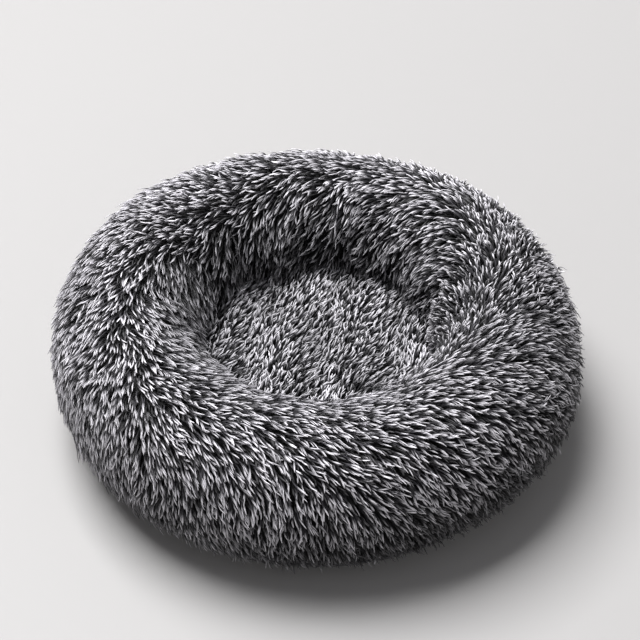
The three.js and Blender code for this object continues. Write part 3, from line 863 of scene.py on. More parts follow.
# which way the pile is brushed: parts along the round, over the cover (rising angle), and how flat it lies
def brushing(turn, angle):
    b = brushed
    turnDegrees, angleDegrees = np.degrees(turn) % 360, np.degrees(angle)
    places = [p[0] for p in b["parting"]]
    part = np.interp(turnDegrees, places, [p[1] for p in b["parting"]], period=360)
    part = part + b["partingDrift"] * unevenness(turn, 0 * angle, (7, 19), 11)
    over = np.tanh((angleDegrees - part) / b["partingWidth"])
    along = b["alongEverywhere"] + b["alongDrift"] * unevenness(turn, angle, (3, 11), 12)
    along = along + sum(strength * patch(turn, angle, *place) for *place, strength in b["combed"])
    along = along + b["alongAtParting"] * np.exp(-((angleDegrees - part) / (1.3 * b["partingWidth"])) ** 2)
    over = over + b["overDrift"] * unevenness(turn, angle, (5, 17), 13)
    size = np.hypot(along, over)
    flat = b["leastFlat"] + (1 - b["leastFlat"]) * smoothStep(size, 0.1, 0.9)
    return along / np.maximum(size, 1e-6), over / np.maximum(size, 1e-6), flat


# the middle line of each lock: it leaves the cloth steeply, then lies down the way it's brushed, and sags
def lockLines(root, facing, brush, flat, length, rng, options):
    cuts = np.array(options["rings"] + (1.0,))
    steps = 2 * (len(cuts) - 1)
    fine = np.linspace(0, 1, steps + 1)
    lean0, lean1 = math.radians(options["rootLean"]), math.radians(options["tipLean"])
    side = unit(np.cross(facing, brush))
    swerve = rng.normal(0, options["swerve"], len(root))
    point = root.copy()
    path = [point]
    for t in (fine[:-1] + fine[1:]) / 2:
        lean = (lean0 + (lean1 - lean0) * t ** options["leanRate"]) * flat
        way = facing * np.cos(lean)[:, None] + brush * np.sin(lean)[:, None]
        way = way + side * (swerve * t * np.sin(lean))[:, None]
        way[:, 2] -= options["droop"] * t
        point = point + unit(way) * (length / steps)[:, None]
        path.append(point)
    path = np.stack(path, axis=1)
    where = cuts * steps
    low = np.minimum(np.floor(where).astype(int), steps - 1)
    part = (where - low)[None, :, None]
    line = path[:, low] * (1 - part) + path[:, low + 1] * part
    phase = rng.uniform(0, full, len(root))
    swing = np.sin(full * options["waveTurns"] * cuts[None] + phase[:, None])
    bend = options["wave"] * swing * cuts[None] ** 0.6
    return line + side[:, None] * bend[..., None], side, cuts


# one strand's faces: its corners, and for each the shift of tone and the place along the strand
def strandFaces(rings, cuts):
    corner, tone, along, size = [], [], [], []
    offset = (-0.006, 0, 0.006)

    def face(*points):
        size.append(len(points))
        for ring, side in points:
            corner.append(ring * 3 + side)
            tone.append(offset[side] if ring < rings else 0)  # the tip is one point
            along.append(cuts[ring])

    face((0, 0), (0, 2), (0, 1))
    tone[:], along[:] = (0, 0.012, 0.006), (0, 0, 0.012)  # the root's end has a small place on the map
    for ring in range(rings - 1):
        for c in range(3):
            d = (c + 1) % 3
            face((ring, c), (ring, d), (ring + 1, d), (ring + 1, c))
    for c in range(3):
        face((rings - 1, c), (rings - 1, (c + 1) % 3), (rings, 0))
    return np.array(corner), np.array(tone), np.array(along), size


# closed three-sided strands along their lines; their map holds (tone, place along the strand)
def strandPiece(name, line, side, cuts, width, tone, sizes, material):
    count, rings = line.shape[0], line.shape[1] - 1
    way = unit(np.diff(line, axis=1))
    across = unit(np.cross(way, np.cross(side[:, None], way)))
    lift = np.cross(across, way)
    corner = np.radians([90, 210, 330])
    size = (width[:, None] / 2 * np.array(sizes)[None])[:, :, None, None]
    spread = across[:, :, None] * np.cos(corner)[:, None] + lift[:, :, None] * np.sin(corner)[:, None]
    ringPoints = line[:, :rings, None] + size * spread
    points = np.concatenate([ringPoints.reshape(count, rings * 3, 3), line[:, -1:]], axis=1)
    each = rings * 3 + 1
    corners, shift, along, faceSizes = strandFaces(rings, cuts)
    loops = (corners[None] + (np.arange(count) * each)[:, None]).ravel()
    starts = np.concatenate([[0], np.cumsum(np.tile(faceSizes, count))[:-1]])
    uv = np.empty((len(loops), 2))
    uv[:, 0] = (tone[:, None] * 0.96 + 0.02 + shift[None]).ravel()  # kept clear of the map's edges
    uv[:, 1] = np.tile(along, count)
    mesh = bpy.data.meshes.new(name)
    mesh.vertices.add(count * each)
    mesh.vertices.foreach_set("co", points.astype(np.float32).ravel())
    mesh.loops.add(len(loops))
    mesh.loops.foreach_set("vertex_index", loops.astype(np.int32))
    mesh.polygons.add(len(starts))
    mesh.polygons.foreach_set("loop_start", starts.astype(np.int32))
    layer = mesh.uv_layers.new(name="OFBake")
    layer.uv.foreach_set("vector", uv.astype(np.float32).ravel())
    mesh.update(calc_edges=True)
    mesh.shade_smooth()
    return linkMesh(name, mesh, material)


# grows every lock's strands round its middle line, and shares them out to pieces in `order`
def growPile(name, point, facing, brush, flat, length, loose, tone, rng, options, order):
    o = options
    locks = len(point)
    lock = np.repeat(np.arange(locks), o["strandsPerLock"])
    count = len(lock)
    under = rng.random(locks) < o["underShare"]
    lockTone = np.where(under, o["underTone"], rng.normal(tone, o["toneSpread"], locks))
    tone = lockTone[lock] + rng.normal(0, 0.04, count)
    length = length * np.where(under, o["underLength"], 1)
    line, side, cuts = lockLines(point, facing, brush, flat, length, rng, o)
    own = rng.normal(1, o["lengthSpread"], count)
    pull = np.clip(rng.normal(o["gathered"], 0.1, count), 0.2, 0.95)
    gather = smoothStep(cuts, 0, o["gatherBy"])
    grown = line[lock]
    grown = grown[:, :1] + (grown - grown[:, :1]) * own[:, None, None]
    grown = grown + loose[:, None] * (1 - pull[:, None, None] * gather[None, :, None])
    grown = grown + rng.normal(0, o["stray"], (count, 3))[:, None] * cuts[None, :, None] ** 2
    # what would reach the floor lies out along it
    low = o["floorGap"] + np.abs(rng.normal(0, 1.2 * mm, count))
    below = np.maximum(low[:, None] - grown[..., 2], 0)
    grown[..., 2] += below
    outward = unit(np.concatenate([grown[:, -1, :2], np.zeros((count, 1))], axis=1))
    grown += outward[:, None] * below[..., None] * 0.5
    width = o["width"] * rng.uniform(0.8, 1.2, count)
    order = np.argsort(order, kind="stable")
    shares = np.array_split(order, math.ceil(count / o["pieceStrands"]))
    for number, share in enumerate(shares):
        piece = strandPiece(f"{name}_{number + 1:02d}", grown[share], side[lock][share], cuts, width[share],
                            np.clip(tone[share], 0, 1), o["ringSizes"], furPile)
        finishPiece(piece, "fur")
    print(name, locks, "locks,", count, "strands,", len(shares), "pieces")


# roots of the locks over the whole cover, in staggered rows
def lockRoots(grid, rng, options):
    turnList, angleList = [], []
    section = grid[0]
    reach = np.concatenate([[0], np.cumsum(np.linalg.norm(np.diff(section, axis=0), axis=1))])
    rows = int(reach[-1] / options["rowPitch"])
    angles = np.linspace(bolster["outerEnd"], bolster["innerEnd"], grid.shape[1])
    for row in range(rows):
        middle = (row + 0.5) / rows * reach[-1]
        angle = np.interp(middle, reach, angles)
        radius = np.interp(middle, reach, np.hypot(section[:, 0], section[:, 1]))
        number = int(full * radius / options["rowPitch"])
        place = (np.arange(number) + 0.5 * (row % 2)) / number
        turn = full * place + rng.normal(0, 0.35, number) * options["rowPitch"] / radius
        drift = rng.normal(0, options["rootSpread"], number) * (angles[-1] - angles[0]) / rows
        turnList.append(turn % full)
        angleList.append(np.clip(angle + drift, angles[0], angles[-1]))
    return np.concatenate(turnList), np.concatenate(angleList)


def growRingFur():
    o = fur
    rng = np.random.default_rng(7)
    turn, angle = lockRoots(coverGrid, rng, o)
    locks = len(turn)
    lock = np.repeat(np.arange(locks), o["strandsPerLock"])
    count = len(lock)
    spread = np.sqrt(rng.uniform(0, 1, count)) * o["lockRadius"]
    bearing = rng.uniform(0, full, count)
    point, roundWay, over, facing = onCover(coverGrid, turn, angle)
    along, across, flat = brushing(turn, angle)
    brush = unit(along[:, None] * roundWay + across[:, None] * over)
    radius = np.hypot(point[:, 0], point[:, 1])
    rootTurn = turn[lock] + spread * np.cos(bearing) / radius[lock]
    ends = bolster["outerEnd"], bolster["innerEnd"]
    anglePerMetre = (ends[1] - ends[0]) / 0.42  # the cover is about 0.42 m over
    rootAngle = np.clip(angle[lock] + spread * np.sin(bearing) * anglePerMetre, *ends)
    root, *_ = onCover(coverGrid, rootTurn, rootAngle)
    start, end, short = o["trimmed"]
    fade = o["trimFade"]
    overZip = smoothStep(np.degrees(turn), start, start + fade)
    overZip = overZip * (1 - smoothStep(np.degrees(turn), end - fade, end))
    overZip = overZip * (1 - smoothStep(np.degrees(angle), *o["trimBelow"]))
    length = o["length"] * rng.normal(1, 0.09, locks) * (0.85 + 0.3 * flat) * (1 - (1 - short) * overZip)
    # each lock's tone, lowered by painted shade in the shaded places
    tone = o["toneMiddle"] - sum(drop * patch(turn, angle, *place) for *place, drop in o["paintedShade"])
    growPile("ring_fur", point, facing, brush, flat, length, root - point[lock], tone, rng, o,
             rootTurn % full)


growRingFur()

padFur = {
    "radius": 141 * mm,
    "backing": 1.5 * mm,
    "domeRadius": 127 * mm,
    "domeRise": 4 * mm,
    "bearing": math.radians(55),  # brushed this way, from +X towards +Y
    "bearingDrift": 0.4,
    "bearingSpread": 0.12,
    "flat": 0.82,
    "flatDrift": 0.12,
    "toneDrift": 0.08,
    "driftScale": 38,  # per metre; patches of like pile are about 1 / this across
    "lumps": 1.6 * mm,
    "lumpScale": 30,
    "rings": 20,
    "spokes": 120,
    "fill": 0.6,
    # what differs from the ring's pile; its lower toneMiddle is painted shade, for the pad lying in the
    # ring's hollow
    "pile": {"length": 22 * mm, "droop": 0.12, "toneMiddle": 0.52},
}


def padHeight(radius):
    p = padFur
    return padLow.z + p["backing"] + p["domeRise"] * np.maximum(0, 1 - (radius / p["domeRadius"]) ** 2)


# soft rises where the filling has shifted, none at the seam
def padLumps(x, y):
    p = padFur
    rises = np.clip(1 + unevenness(x * p["lumpScale"], y * p["lumpScale"], (1, 2), 51, 5), 0, 2) / 2
    return p["lumps"] * rises * (1 - smoothStep(np.hypot(x, y), 0.6 * p["radius"], p["radius"]))


def growPadFur():
    p, o = padFur, {**fur, **padFur["pile"]}
    rng = np.random.default_rng(21)
    pitch, spread = o["rowPitch"], o["rootSpread"]
    n = int(p["radius"] / pitch) + 1
    i, j = np.meshgrid(np.arange(-n, n + 1), np.arange(-n, n + 1))
    x = (i + 0.5 * (j % 2)).ravel() * pitch + rng.normal(0, spread, i.size) * pitch
    y = j.ravel() * pitch * 0.9 + rng.normal(0, spread, i.size) * pitch
    keep = np.hypot(x, y) < p["radius"]
    x, y = x[keep], y[keep]
    locks = len(x)

    def drift(seed, most=2):
        return unevenness(x * p["driftScale"], y * p["driftScale"], (1, most), seed, 5)

    point = np.stack([x, y, padHeight(np.hypot(x, y)) + padLumps(x, y)], axis=-1)
    facing = np.tile([0.0, 0, 1], (locks, 1))
    bearing = p["bearing"] + p["bearingDrift"] * drift(31) + rng.normal(0, p["bearingSpread"], locks)
    brush = np.stack([np.cos(bearing), np.sin(bearing), 0 * x], axis=-1)
    flat = np.clip(p["flat"] + p["flatDrift"] * drift(32), 0.45, 1)
    count = locks * o["strandsPerLock"]
    spread = np.sqrt(rng.uniform(0, 1, count)) * o["lockRadius"]
    around = rng.uniform(0, full, count)
    loose = np.stack([spread * np.cos(around), spread * np.sin(around), 0 * spread], axis=-1)
    tone = o["toneMiddle"] + p["toneDrift"] * drift(33, 3)
    length = o["length"] * rng.normal(1, o["lengthSpread"], locks)
    growPile("pad_fur", point, facing, brush, flat, length, loose, tone, rng, o, np.arange(count))


growPadFur()


# a round of cloth with a thickness, from a height for each radius
def roundSheet(name, radius, heights, thickness, rings, spokes, material):
    radii = np.linspace(0, radius, rings + 1)
    height = np.array([heights(r) for r in radii])
    radii = np.maximum(radii, 1e-5)
    radii, height = np.concatenate([radii, radii[::-1]]), np.concatenate([height, height[::-1] - thickness])
    turn = np.linspace(0, full, spokes, endpoint=False)[:, None]
    points = np.stack([radii * np.cos(turn), radii * np.sin(turn), height + 0 * turn], axis=-1)
    number = len(radii)
    faces, flat = [], []
    for s in range(spokes):
        t = (s + 1) % spokes
        for k in range(number):
            m = (k + 1) % number
            faces.append((s * number + k, t * number + k, t * number + m, s * number + m))
            flat += [tuple(points[a, b, :2]) for a, b in ((s, k), (t, k), (t, m), (s, m))]
    piece = meshFrom(name, points.reshape(-1, 3), faces, material, flat=flat)
    shape = bmesh.new()
    shape.from_mesh(piece.data)
    bmesh.ops.remove_doubles(shape, verts=shape.verts, dist=5e-5)
    shape.to_mesh(piece.data)
    shape.free()
    return piece


def addPadBacking():
    p = padFur
    pad = roundSheet("pad_backing", padHigh.x, padHeight, p["backing"], p["rings"], p["spokes"], furBacking)
    for vertex in pad.data.vertices:
        vertex.co.z += float(padLumps(np.array(vertex.co.x), np.array(vertex.co.y)))
    finishPiece(pad, "fur", "pad_cover")


addPadBacking()

padCushion = {
    "gap": 0.8 * mm,
    "edgeGap": 4 * mm,
    "thickness": 1 * mm,
    "fibreGap": 1 * mm,
    "squareness": 0.5,
    "pucker": 0.5 * mm,
    "puckerReach": 10 * mm,
    "steps": 12,
    "turns": 120,
    "fill": 0.7,
    "tapeWidth": 6 * mm,
    "tapeRounding": 0.9 * mm,
}
padLevels = panelHigh.z + padCushion["gap"], padLow.z - padCushion["gap"]


# half of the pad cushion's section, from its edge to the middle of its top or bottom
def padArc(inset, side):
    c = padCushion
    low, high = padLevels
    middle, half = (low + high) / 2, (high - low) / 2
    angle = np.linspace(0, math.pi / 2, c["steps"] + 1)
    radius = (padHigh.x - c["edgeGap"] - inset) * np.abs(np.cos(angle)) ** c["squareness"]
    radius[-1] = 1e-5
    height = middle + side * (half - inset) * np.sin(angle) ** c["squareness"]
    if side > 0:
        height = height + padHeight(radius) - padHeight(padFur["domeRadius"])
    return np.stack([radius, height], axis=-1)


# the edge seam draws the liner in, so it puckers round the rim
def pucker(turn, height):
    near = np.exp(-((height - sum(padLevels) / 2) / padCushion["puckerReach"]) ** 2)
    return -padCushion["pucker"] * near * (1 + np.sin(60 * turn) + 0.5 * np.sin(97 * turn + 1))


def addPadCushion():
    c = padCushion
    for name, side in (("top", 1), ("bottom", -1)):
        lift = np.array([0, side * seamGap / 2])
        profile = np.concatenate([padArc(0, side) + lift, (padArc(c["thickness"], side) + lift)[::-1]])
        piece = turnedPiece(f"pad_inner_cover_{name}", profile, 0, full, c["turns"], spunbond, pucker)
        finishPiece(piece, "liner", f"pad_liner_{name}")
    inset = c["thickness"] + c["fibreGap"]
    profile = np.concatenate([padArc(inset, -1)[::-1], padArc(inset, 1)[1:]])
    fill = turnedPiece("pad_fibre_filling", profile, 0, full, c["turns"], fibre, pucker)
    finishPiece(fill, "filling", "pad_fill")


def addSeamTape():
    c = padCushion
    low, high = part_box("pad_seam_tape")
    profile = roundedBox(high.x - c["tapeWidth"], high.x, low.z, high.z, c["tapeRounding"])
    tape = turnedPiece("pad_seam_binding", profile, 0, full, 160, bindingTape)
    finishPiece(tape, "binding_tape", "pad_seam_tape")


addPadCushion()
addSeamTape()
print("pad made")

base = {
    "dotHeight": 0.7 * mm,
    "dotRadius": 1.7 * mm,
    "dotPitch": 11 * mm,
    "dotEdge": 6 * mm,  # the dots stop this far in from the seam
    "dotSides": 10,
    # a dot's rings from the cloth down: height, and share of its radius
    "dotRings": ((0.75 * mm, 1), (0.25 * mm, 0.93), (0, 0.62)),
    "bandThickness": 1.2 * mm,
    "bandRounding": 0.4 * mm,
    "bandRows": (2.2 * mm, 5 * mm),  # rows of stitches, down from the band's top
    "rowEnd": 0.06,  # the rows stop this far short of the zip, in radians
    "ripple": 0.12 * mm,
    "thread": {"pitch": 3.4 * mm, "length": 2.7 * mm, "width": 0.45 * mm},
    "bindingGap": 0.45 * mm,
    "bindingRounding": 0.85 * mm,
    "bindingRow": 0.4 * mm,  # its stitches run this far above its middle
}


def addBase():
    b = base
    thickness = panelHigh.z - b["dotHeight"]
    cloth = roundSheet("base_non_slip_cloth", bandRadius, lambda r: panelHigh.z, thickness, 40, 160,
                       baseCloth)
    finishPiece(cloth, "base_cloth", "base_panel")
    points, faces = [], []
    rings, sides = len(b["dotRings"]), b["dotSides"]
    around = [full * side / sides for side in range(sides)]
    n = int(bandRadius / b["dotPitch"]) + 2
    rng = np.random.default_rng(5)
    for j in range(-n, n + 1):
        for i in range(-n, n + 1):
            x = (i + 0.5 * (j % 2)) * b["dotPitch"]
            y = j * b["dotPitch"] * 0.866
            if math.hypot(x, y) > bandRadius - b["dotEdge"]:
                continue
            size = b["dotRadius"] * rng.uniform(0.92, 1.06)
            faces += tubeFaces(rings, sides, len(points))
            for z, share in b["dotRings"]:
                r = size * share
                points += [(x + r * math.cos(a), y + r * math.sin(a), z) for a in around]
    dots = finishPiece(meshFrom("base_grip_dots", points, faces, gripRubber), "base_cloth")
    print("base cloth laid,", len(points) // (rings * sides), "grip dots")


zipLength = 640 * mm  # round the bed's rear
zipOpen = math.pi / 2 - zipLength / 2 / bandRadius
zipClosed = math.pi / 2 + zipLength / 2 / bandRadius
bandGap = 0.9 * mm / bandRadius  # from the zip's tapes to the ends of the band


# each stitch draws the band's cloth in a little, more in some places than in others
def bandRipple(turn, height):
    stitch = turn * bandRadius / base["thread"]["pitch"] * full
    return -base["ripple"] * (1 + np.sin(stitch)) / 2 * (1 + np.sin(turn * 31)) / 2


def addBand():
    b = base
    start, end = zipClosed + bandGap, zipOpen + full - bandGap
    profile = roundedBox(bandRadius - b["bandThickness"], bandRadius, bandLow.z, bandHigh.z,
                         b["bandRounding"])
    band = turnedPiece("base_side_band", profile, start, end, 720, baseCloth, bandRipple)
    finishPiece(band, "base_cloth", "base_band")
    rows = [bandHigh.z - down for down in b["bandRows"]]
    stitches = stitchesRound("band_stitches", bandRadius + 0.05 * mm, rows, start + b["rowEnd"],
                             end - b["rowEnd"], b["thread"], sewingThread)
    finishPiece(stitches, "base_cloth")


def addBinding():
    b = base
    low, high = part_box("base_binding")
    profile = roundedBox(bandRadius + b["bindingGap"], high.x, low.z, high.z, b["bindingRounding"])
    binding = turnedPiece("base_edge_binding", profile, 0, full, 360, bindingTape)
    finishPiece(binding, "binding_tape", "base_binding")
    row = (low.z + high.z) / 2 + b["bindingRow"]
    sewn = stitchesRound("binding_stitches", high.x - 0.08 * mm, [row], 0, full, b["thread"], sewingThread)
    finishPiece(sewn, "binding_tape")


addBase()
addBand()
addBinding()
print("base sewn")

chain = {
    "tapeThickness": 0.8 * mm,
    "tapeRounding": 0.3 * mm,
    # rows of stitches on a tape, in from its chain edge and from its seam edge
    "chainRow": 4.1 * mm,
    "seamRows": {"lower": 2.3 * mm, "upper": 2 * mm},
    "rowEnd": 0.03,  # radians
    "thread": {"pitch": 2.6 * mm, "length": 2 * mm, "width": 0.34 * mm},
    "thickness": 2.2 * mm,
    "stopLength": 2.4 * mm,
    "endTabLength": 14 * mm,
    "endTabThickness": 1 * mm,
    "endTabRounding": 0.45 * mm,
    "boxInset": 2 * mm,  # the box of stitches on an end tab, in from its edges
    "boxThread": {"length": 2.2 * mm, "width": 0.45 * mm},
    # how far each metal piece's edges are rounded
    "stopEdges": 0.35 * mm,
    "bottomStopEdges": 0.4 * mm,
    "sliderEdges": 0.28 * mm,
    "pullEdges": 0.3 * mm,
    "toothPitch": 1.55 * mm,
    "wire": 0.34 * mm,
    "reach": 0.35 * mm,  # from the middle of the chain to the teeth's noses
    "pointsPerTooth": 12,
    "sides": 5,
    "slot": 1.2 * mm,
    "barWidth": 2.6 * mm,
}


# one side of the zip: a nylon coil, wound along the edge of its tape
def coilPiece(name, node, radiusIn, radiusOut, nose, heel, start, end):
    c = chain
    middle, half = (radiusIn + radiusOut) / 2, (radiusOut - radiusIn) / 2 - c["wire"]
    centre, tall = (nose + heel) / 2, abs(nose - heel) / 2 - c["wire"]
    teeth = int((end - start) * middle / c["toothPitch"])
    t = np.arange(teeth * c["pointsPerTooth"] + 1) / c["pointsPerTooth"]
    phase = full * t
    turn = start + (end - start) * t / teeth
    outward = np.sign(np.cos(phase)) * np.abs(np.cos(phase)) ** 0.6
    upward = np.sin(phase)
    radial, roundWay = levelWays(turn)
    up = np.array([0, 0, 1.0])
    line = radial * (middle + half * outward)[:, None] + up * (centre + tall * upward)[:, None]
    away = unit(radial * np.cos(phase)[:, None] + up * np.sin(phase)[:, None])
    corner = np.arange(c["sides"]) * full / c["sides"]
    ring = away[:, None] * np.cos(corner)[None, :, None] + roundWay[:, None] * np.sin(corner)[None, :, None]
    points = (line[:, None] + ring * c["wire"]).reshape(-1, 3)
    piece = meshFrom(name, points, tubeFaces(len(t), c["sides"]), coilNylon)
    piece.data.set_sharp_from_angle(angle=math.pi)
    return finishPiece(piece, "zip_coil", node)


# a copy of a hard piece with its edges rounded over
def bevelled(name, node, width, slotName, material, body="bed"):
    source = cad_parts[node]
    mesh = source.data.copy()
    mesh.transform(source.matrix_world)
    mesh.materials.clear()
    shape = bmesh.new()
    shape.from_mesh(mesh)
    bmesh.ops.remove_doubles(shape, verts=shape.verts, dist=2e-6)
    bmesh.ops.dissolve_limit(shape, angle_limit=math.radians(4), verts=shape.verts, edges=shape.edges)
    shape.to_mesh(mesh)
    shape.free()
    piece = linkMesh(name, mesh, material)
    bevel = piece.modifiers.new("bevel", "BEVEL")
    bevel.width = width
    bevel.segments = 2
    bevel.limit_method = "ANGLE"
    bevel.angle_limit = math.radians(28)
    mesh.shade_smooth()
    mesh.set_sharp_from_angle(angle=math.radians(60))
    return finishPiece(piece, slotName, node, body=body)


def addZipTape(side, sign):
    c = chain
    low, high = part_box(f"zip_tape_{side}")
    profile = roundedBox(bandRadius - c["tapeThickness"], bandRadius, low.z, high.z, c["tapeRounding"])
    tape = turnedPiece(f"zip_tape_{side}_cloth", profile, zipOpen, zipClosed, 360, zipTape)
    finishPiece(tape, "zip_tape", f"zip_tape_{side}")
    chainEdge, seamEdge = (high.z, low.z) if sign < 0 else (low.z, high.z)
    rows = chainEdge + sign * c["chainRow"], seamEdge - sign * c["seamRows"][side]
    sewn = stitchesRound(f"zip_tape_{side}_stitches", bandRadius + 0.02 * mm, rows, zipOpen + c["rowEnd"],
                         zipClosed - c["rowEnd"], c["thread"], sewingThread)
    finishPiece(sewn, "zip_tape")


# a cloth tab over the ends of the tapes, held down by a box of stitches
def addEndTab(side, middleTurn):
    c = chain
    low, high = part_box(f"zip_end_tab_{side}")
    half = c["endTabLength"] / 2 / bandRadius
    inner = bandRadius + seamGap
    outer = inner + c["endTabThickness"]
    profile = roundedBox(inner, outer, low.z, high.z, c["endTabRounding"])
    tab = turnedPiece(f"zip_end_cloth_{side}", profile, middleTurn - half, middleTurn + half, 24, baseCloth)
    finishPiece(tab, "base_cloth", f"zip_end_tab_{side}")
    radius = outer + 0.02 * mm
    bottom, top = low.z + c["boxInset"], high.z - c["boxInset"]
    reach = half - c["boxInset"] / radius
    places = [(middleTurn + reach * (2 * (k + 0.5) / 4 - 1), z, True)
              for k in range(4) for z in (bottom, top)]
    places += [(turn, bottom + (top - bottom) * (k + 0.5) / 5, False)
               for k in range(5) for turn in (middleTurn - reach, middleTurn + reach)]
    turn, height, level = (np.array(column) for column in zip(*places))
    out, roundWay = levelWays(turn)
    centre = radius * out
    centre[:, 2] = height
    way = np.where(level[:, None], roundWay, (0, 0, 1))
    sewn = stitchPiece(f"zip_end_stitches_{side}", centre, way, out, c["boxThread"]["length"],
                       c["boxThread"]["width"], sewingThread)
    finishPiece(sewn, "base_cloth")


def addZip():
    c = chain
    middle = (bandLow.z + bandHigh.z) / 2
    inner = bandRadius + seamGap
    inset = (c["endTabLength"] / 2 + seamGap + c["stopLength"] + seamGap) / bandRadius
    for side, sign in (("lower", -1), ("upper", 1)):
        addZipTape(side, sign)
    for side, sign in (("lower", -1), ("upper", 1)):
        coilPiece(f"zip_teeth_{side}", f"zip_coil_{side}", inner, inner + c["thickness"],
                  middle + sign * c["reach"], middle + sign * (c["slot"] / 2 + c["barWidth"]),
                  zipOpen + inset, zipClosed - inset)
        bevelled(f"zip_stop_{side}", f"zip_top_stop_{side}", c["stopEdges"], "zip_metal", zipMetal)
    bevelled("zip_stop_bottom", "zip_bottom_stop", c["bottomStopEdges"], "zip_metal", zipMetal)
    bevelled("zip_slider_body", "zip_slider", c["sliderEdges"], "zip_metal", zipMetal, "slider")
    bevelled("zip_pull", "zip_pull_tab", c["pullEdges"], "zip_metal", zipMetal, "pull_tab")
    addEndTab("right", zipOpen)
    addEndTab("left", zipClosed)


label = {
    "width": 25 * mm,
    "length": 26 * mm,
    "thickness": 0.35 * mm,
    "standOff": 2.55 * mm,  # from the band out to the label's sewn end
    "pastZip": 14 * mm,  # round the bed, from the end of the band to the label
    "curl": 3.2 * mm,  # its free end rises this much
    "wave": 0.7 * mm,
    "rows": 18,
    "columns": 14,
    "stitches": 9,
    "stitchRow": 2.6 * mm,
    "stitchLength": 2 * mm,
    "stitchWidth": 0.3 * mm,
}


# a blank label folded out of the seam beside the zip; it curls up a little at its free end
def addLabel():
    c = label
    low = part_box("care_label")[0]
    start = bandRadius + c["standOff"]
    turn = zipClosed + bandGap + (c["pastZip"] + c["width"]) / bandRadius
    out, side = levelWays(np.array(turn))
    rows, columns = c["rows"], c["columns"]
    u = np.linspace(0, 1, rows)[:, None]
    v = np.linspace(-0.5, 0.5, columns)[None, :]
    z = low.z + c["curl"] * u ** 2.4 + c["wave"] * u * np.sin(v * 7 + 1) ** 2
    away = start + c["length"] * u * (1 - 0.03 * u)
    sheetPoints = away[..., None] * out + (v * c["width"])[..., None] * side
    sheetPoints = (sheetPoints + z[..., None] * np.array([0, 0, 1.0])).reshape(-1, 3)
    points = np.concatenate([sheetPoints + np.array([0, 0, c["thickness"]]), sheetPoints])
    number = rows * columns
    faces, flat = [], []
    for layer in range(2):
        for i in range(rows - 1):
            for j in range(columns - 1):
                a = layer * number + i * columns + j
                faces.append((a, a + columns, a + columns + 1, a + 1))
                places = ((i, j), (i + 1, j), (i + 1, j + 1), (i, j + 1))
                flat += [(p / (rows - 1) * c["length"], q / (columns - 1) * c["width"]) for p, q in places]
    last = number - columns
    edge = [(i * columns + j, (i + 1) * columns + j) for j in (0, columns - 1) for i in range(rows - 1)]
    edge += [(end + j, end + j + 1) for end in (0, last) for j in range(columns - 1)]
    for a, b in edge:
        faces.append((a, b, b + number, a + number))
        flat += [(x * c["thickness"], y * c["thickness"]) for x, y in ((0, 0), (1, 0), (1, 1), (0, 1))]
    cloth = meshFrom("care_label_blank", points, faces, labelSatin, flat=flat)
    finishPiece(cloth, "label", "care_label")
    across = (np.arange(c["stitches"]) / (c["stitches"] - 1) - 0.5) * 0.9 * c["width"]
    centre = (start + c["stitchRow"]) * out + across[:, None] * side
    centre[:, 2] = low.z + c["thickness"]
    way, facing = np.tile(side, (len(centre), 1)), np.tile([0.0, 0, 1], (len(centre), 1))
    sewn = stitchPiece("care_label_stitches", centre, way, facing, c["stitchLength"], c["stitchWidth"],
                       paleThread)
    finishPiece(sewn, "label")


addZip()
addLabel()
print("zip and label made")

studio = {
    "floorRadius": 3.6,
    "sweep": 1.4,
    "wallHeight": 3.2,
    "floorColor": (0.392, 0.384, 0.382, 1),
    "floorRoughness": 0.55,
    "spokes": 96,
    "bendSteps": 12,
    "skyColor": (0.93, 0.95, 1.0, 1),
    "skyStrength": 0.21,
    "keyPower": 1290,
    "keySize": 5.2,
    "keyPlace": (-2.3, 2.8, 7.5),
    "fillPower": 3,
    "fillSize": 1.6,
    "fillPlace": (1.6, -1.6, 1.6),
    "lightsAim": (0, 0, 0.1),
    "cameraDistance": 2.2,
    "cameraHeightAngle": 42.5,
    "aim": (0.004, 0.0, 0.122),
    "lens": 108.8,
}


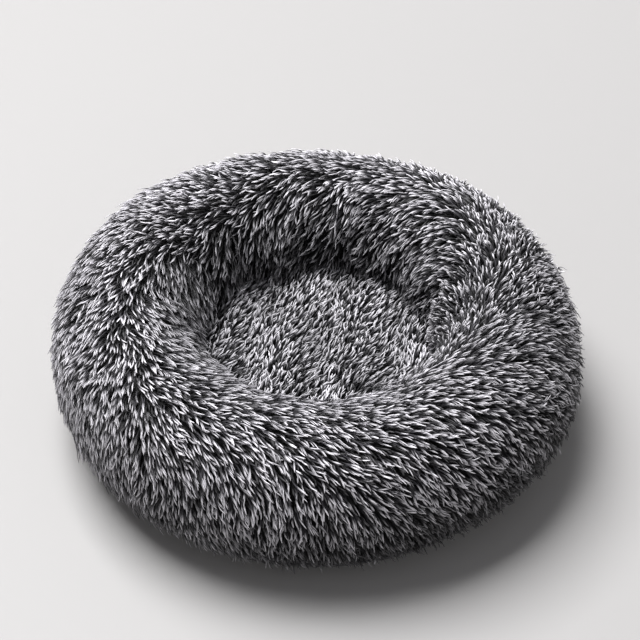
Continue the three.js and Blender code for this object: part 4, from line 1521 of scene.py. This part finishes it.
def areaLight(name, place, power, size):
    light = bpy.data.lights.new(name, "AREA")
    light.energy = power
    light.size = size
    lamp = bpy.data.objects.new(name, light)
    lamp.location = place
    lamp.rotation_euler = (Vector(studio["lightsAim"]) - Vector(place)).to_track_quat("-Z", "Y").to_euler()
    bpy.context.scene.collection.objects.link(lamp)


# a round floor that sweeps up into a low wall all the way round
def addFloor():
    s = studio
    material, tree, shader = newMaterial("floor_paint", s["floorRoughness"])
    shader.inputs["Base Color"].default_value = s["floorColor"]
    bend = np.radians(np.linspace(0, 90, s["bendSteps"] + 1))
    radii = [1e-3, *(s["floorRadius"] + s["sweep"] * np.sin(bend)), s["floorRadius"] + s["sweep"]]
    heights = [0, *(s["sweep"] * (1 - np.cos(bend))), s["wallHeight"]]
    spokes = s["spokes"]
    around = [full * k / spokes for k in range(spokes)]
    points = [(r * math.cos(a), r * math.sin(a), z) for r, z in zip(radii, heights) for a in around]
    faces = [(a + k, a + (k + 1) % spokes, a + spokes + (k + 1) % spokes, a + spokes + k)
             for a in range(0, (len(radii) - 1) * spokes, spokes) for k in range(spokes)]
    faces.append(tuple(range(spokes)))
    meshFrom("floor", points, faces, material)


def buildStudio():
    s = studio
    addFloor()
    world = bpy.data.worlds.new("studio")
    bpy.context.scene.world = world
    world.use_nodes = True
    sky = world.node_tree.nodes["Background"]
    sky.inputs["Color"].default_value = s["skyColor"]
    sky.inputs["Strength"].default_value = s["skyStrength"]
    areaLight("key_light", s["keyPlace"], s["keyPower"], s["keySize"])
    areaLight("fill_light", s["fillPlace"], s["fillPower"], s["fillSize"])
    camera = bpy.data.objects.new("camera", bpy.data.cameras.new("camera"))
    camera.data.lens = s["lens"]
    angle = math.radians(s["cameraHeightAngle"])
    aim = Vector(s["aim"])
    camera.location = aim + Vector((0, -math.cos(angle), math.sin(angle))) * s["cameraDistance"]
    camera.rotation_euler = (aim - camera.location).to_track_quat("-Z", "Y").to_euler()
    bpy.context.scene.collection.objects.link(camera)
    bpy.context.scene.camera = camera
    bpy.context.scene.view_settings.view_transform = "Standard"
    print("studio set up")


buildStudio()
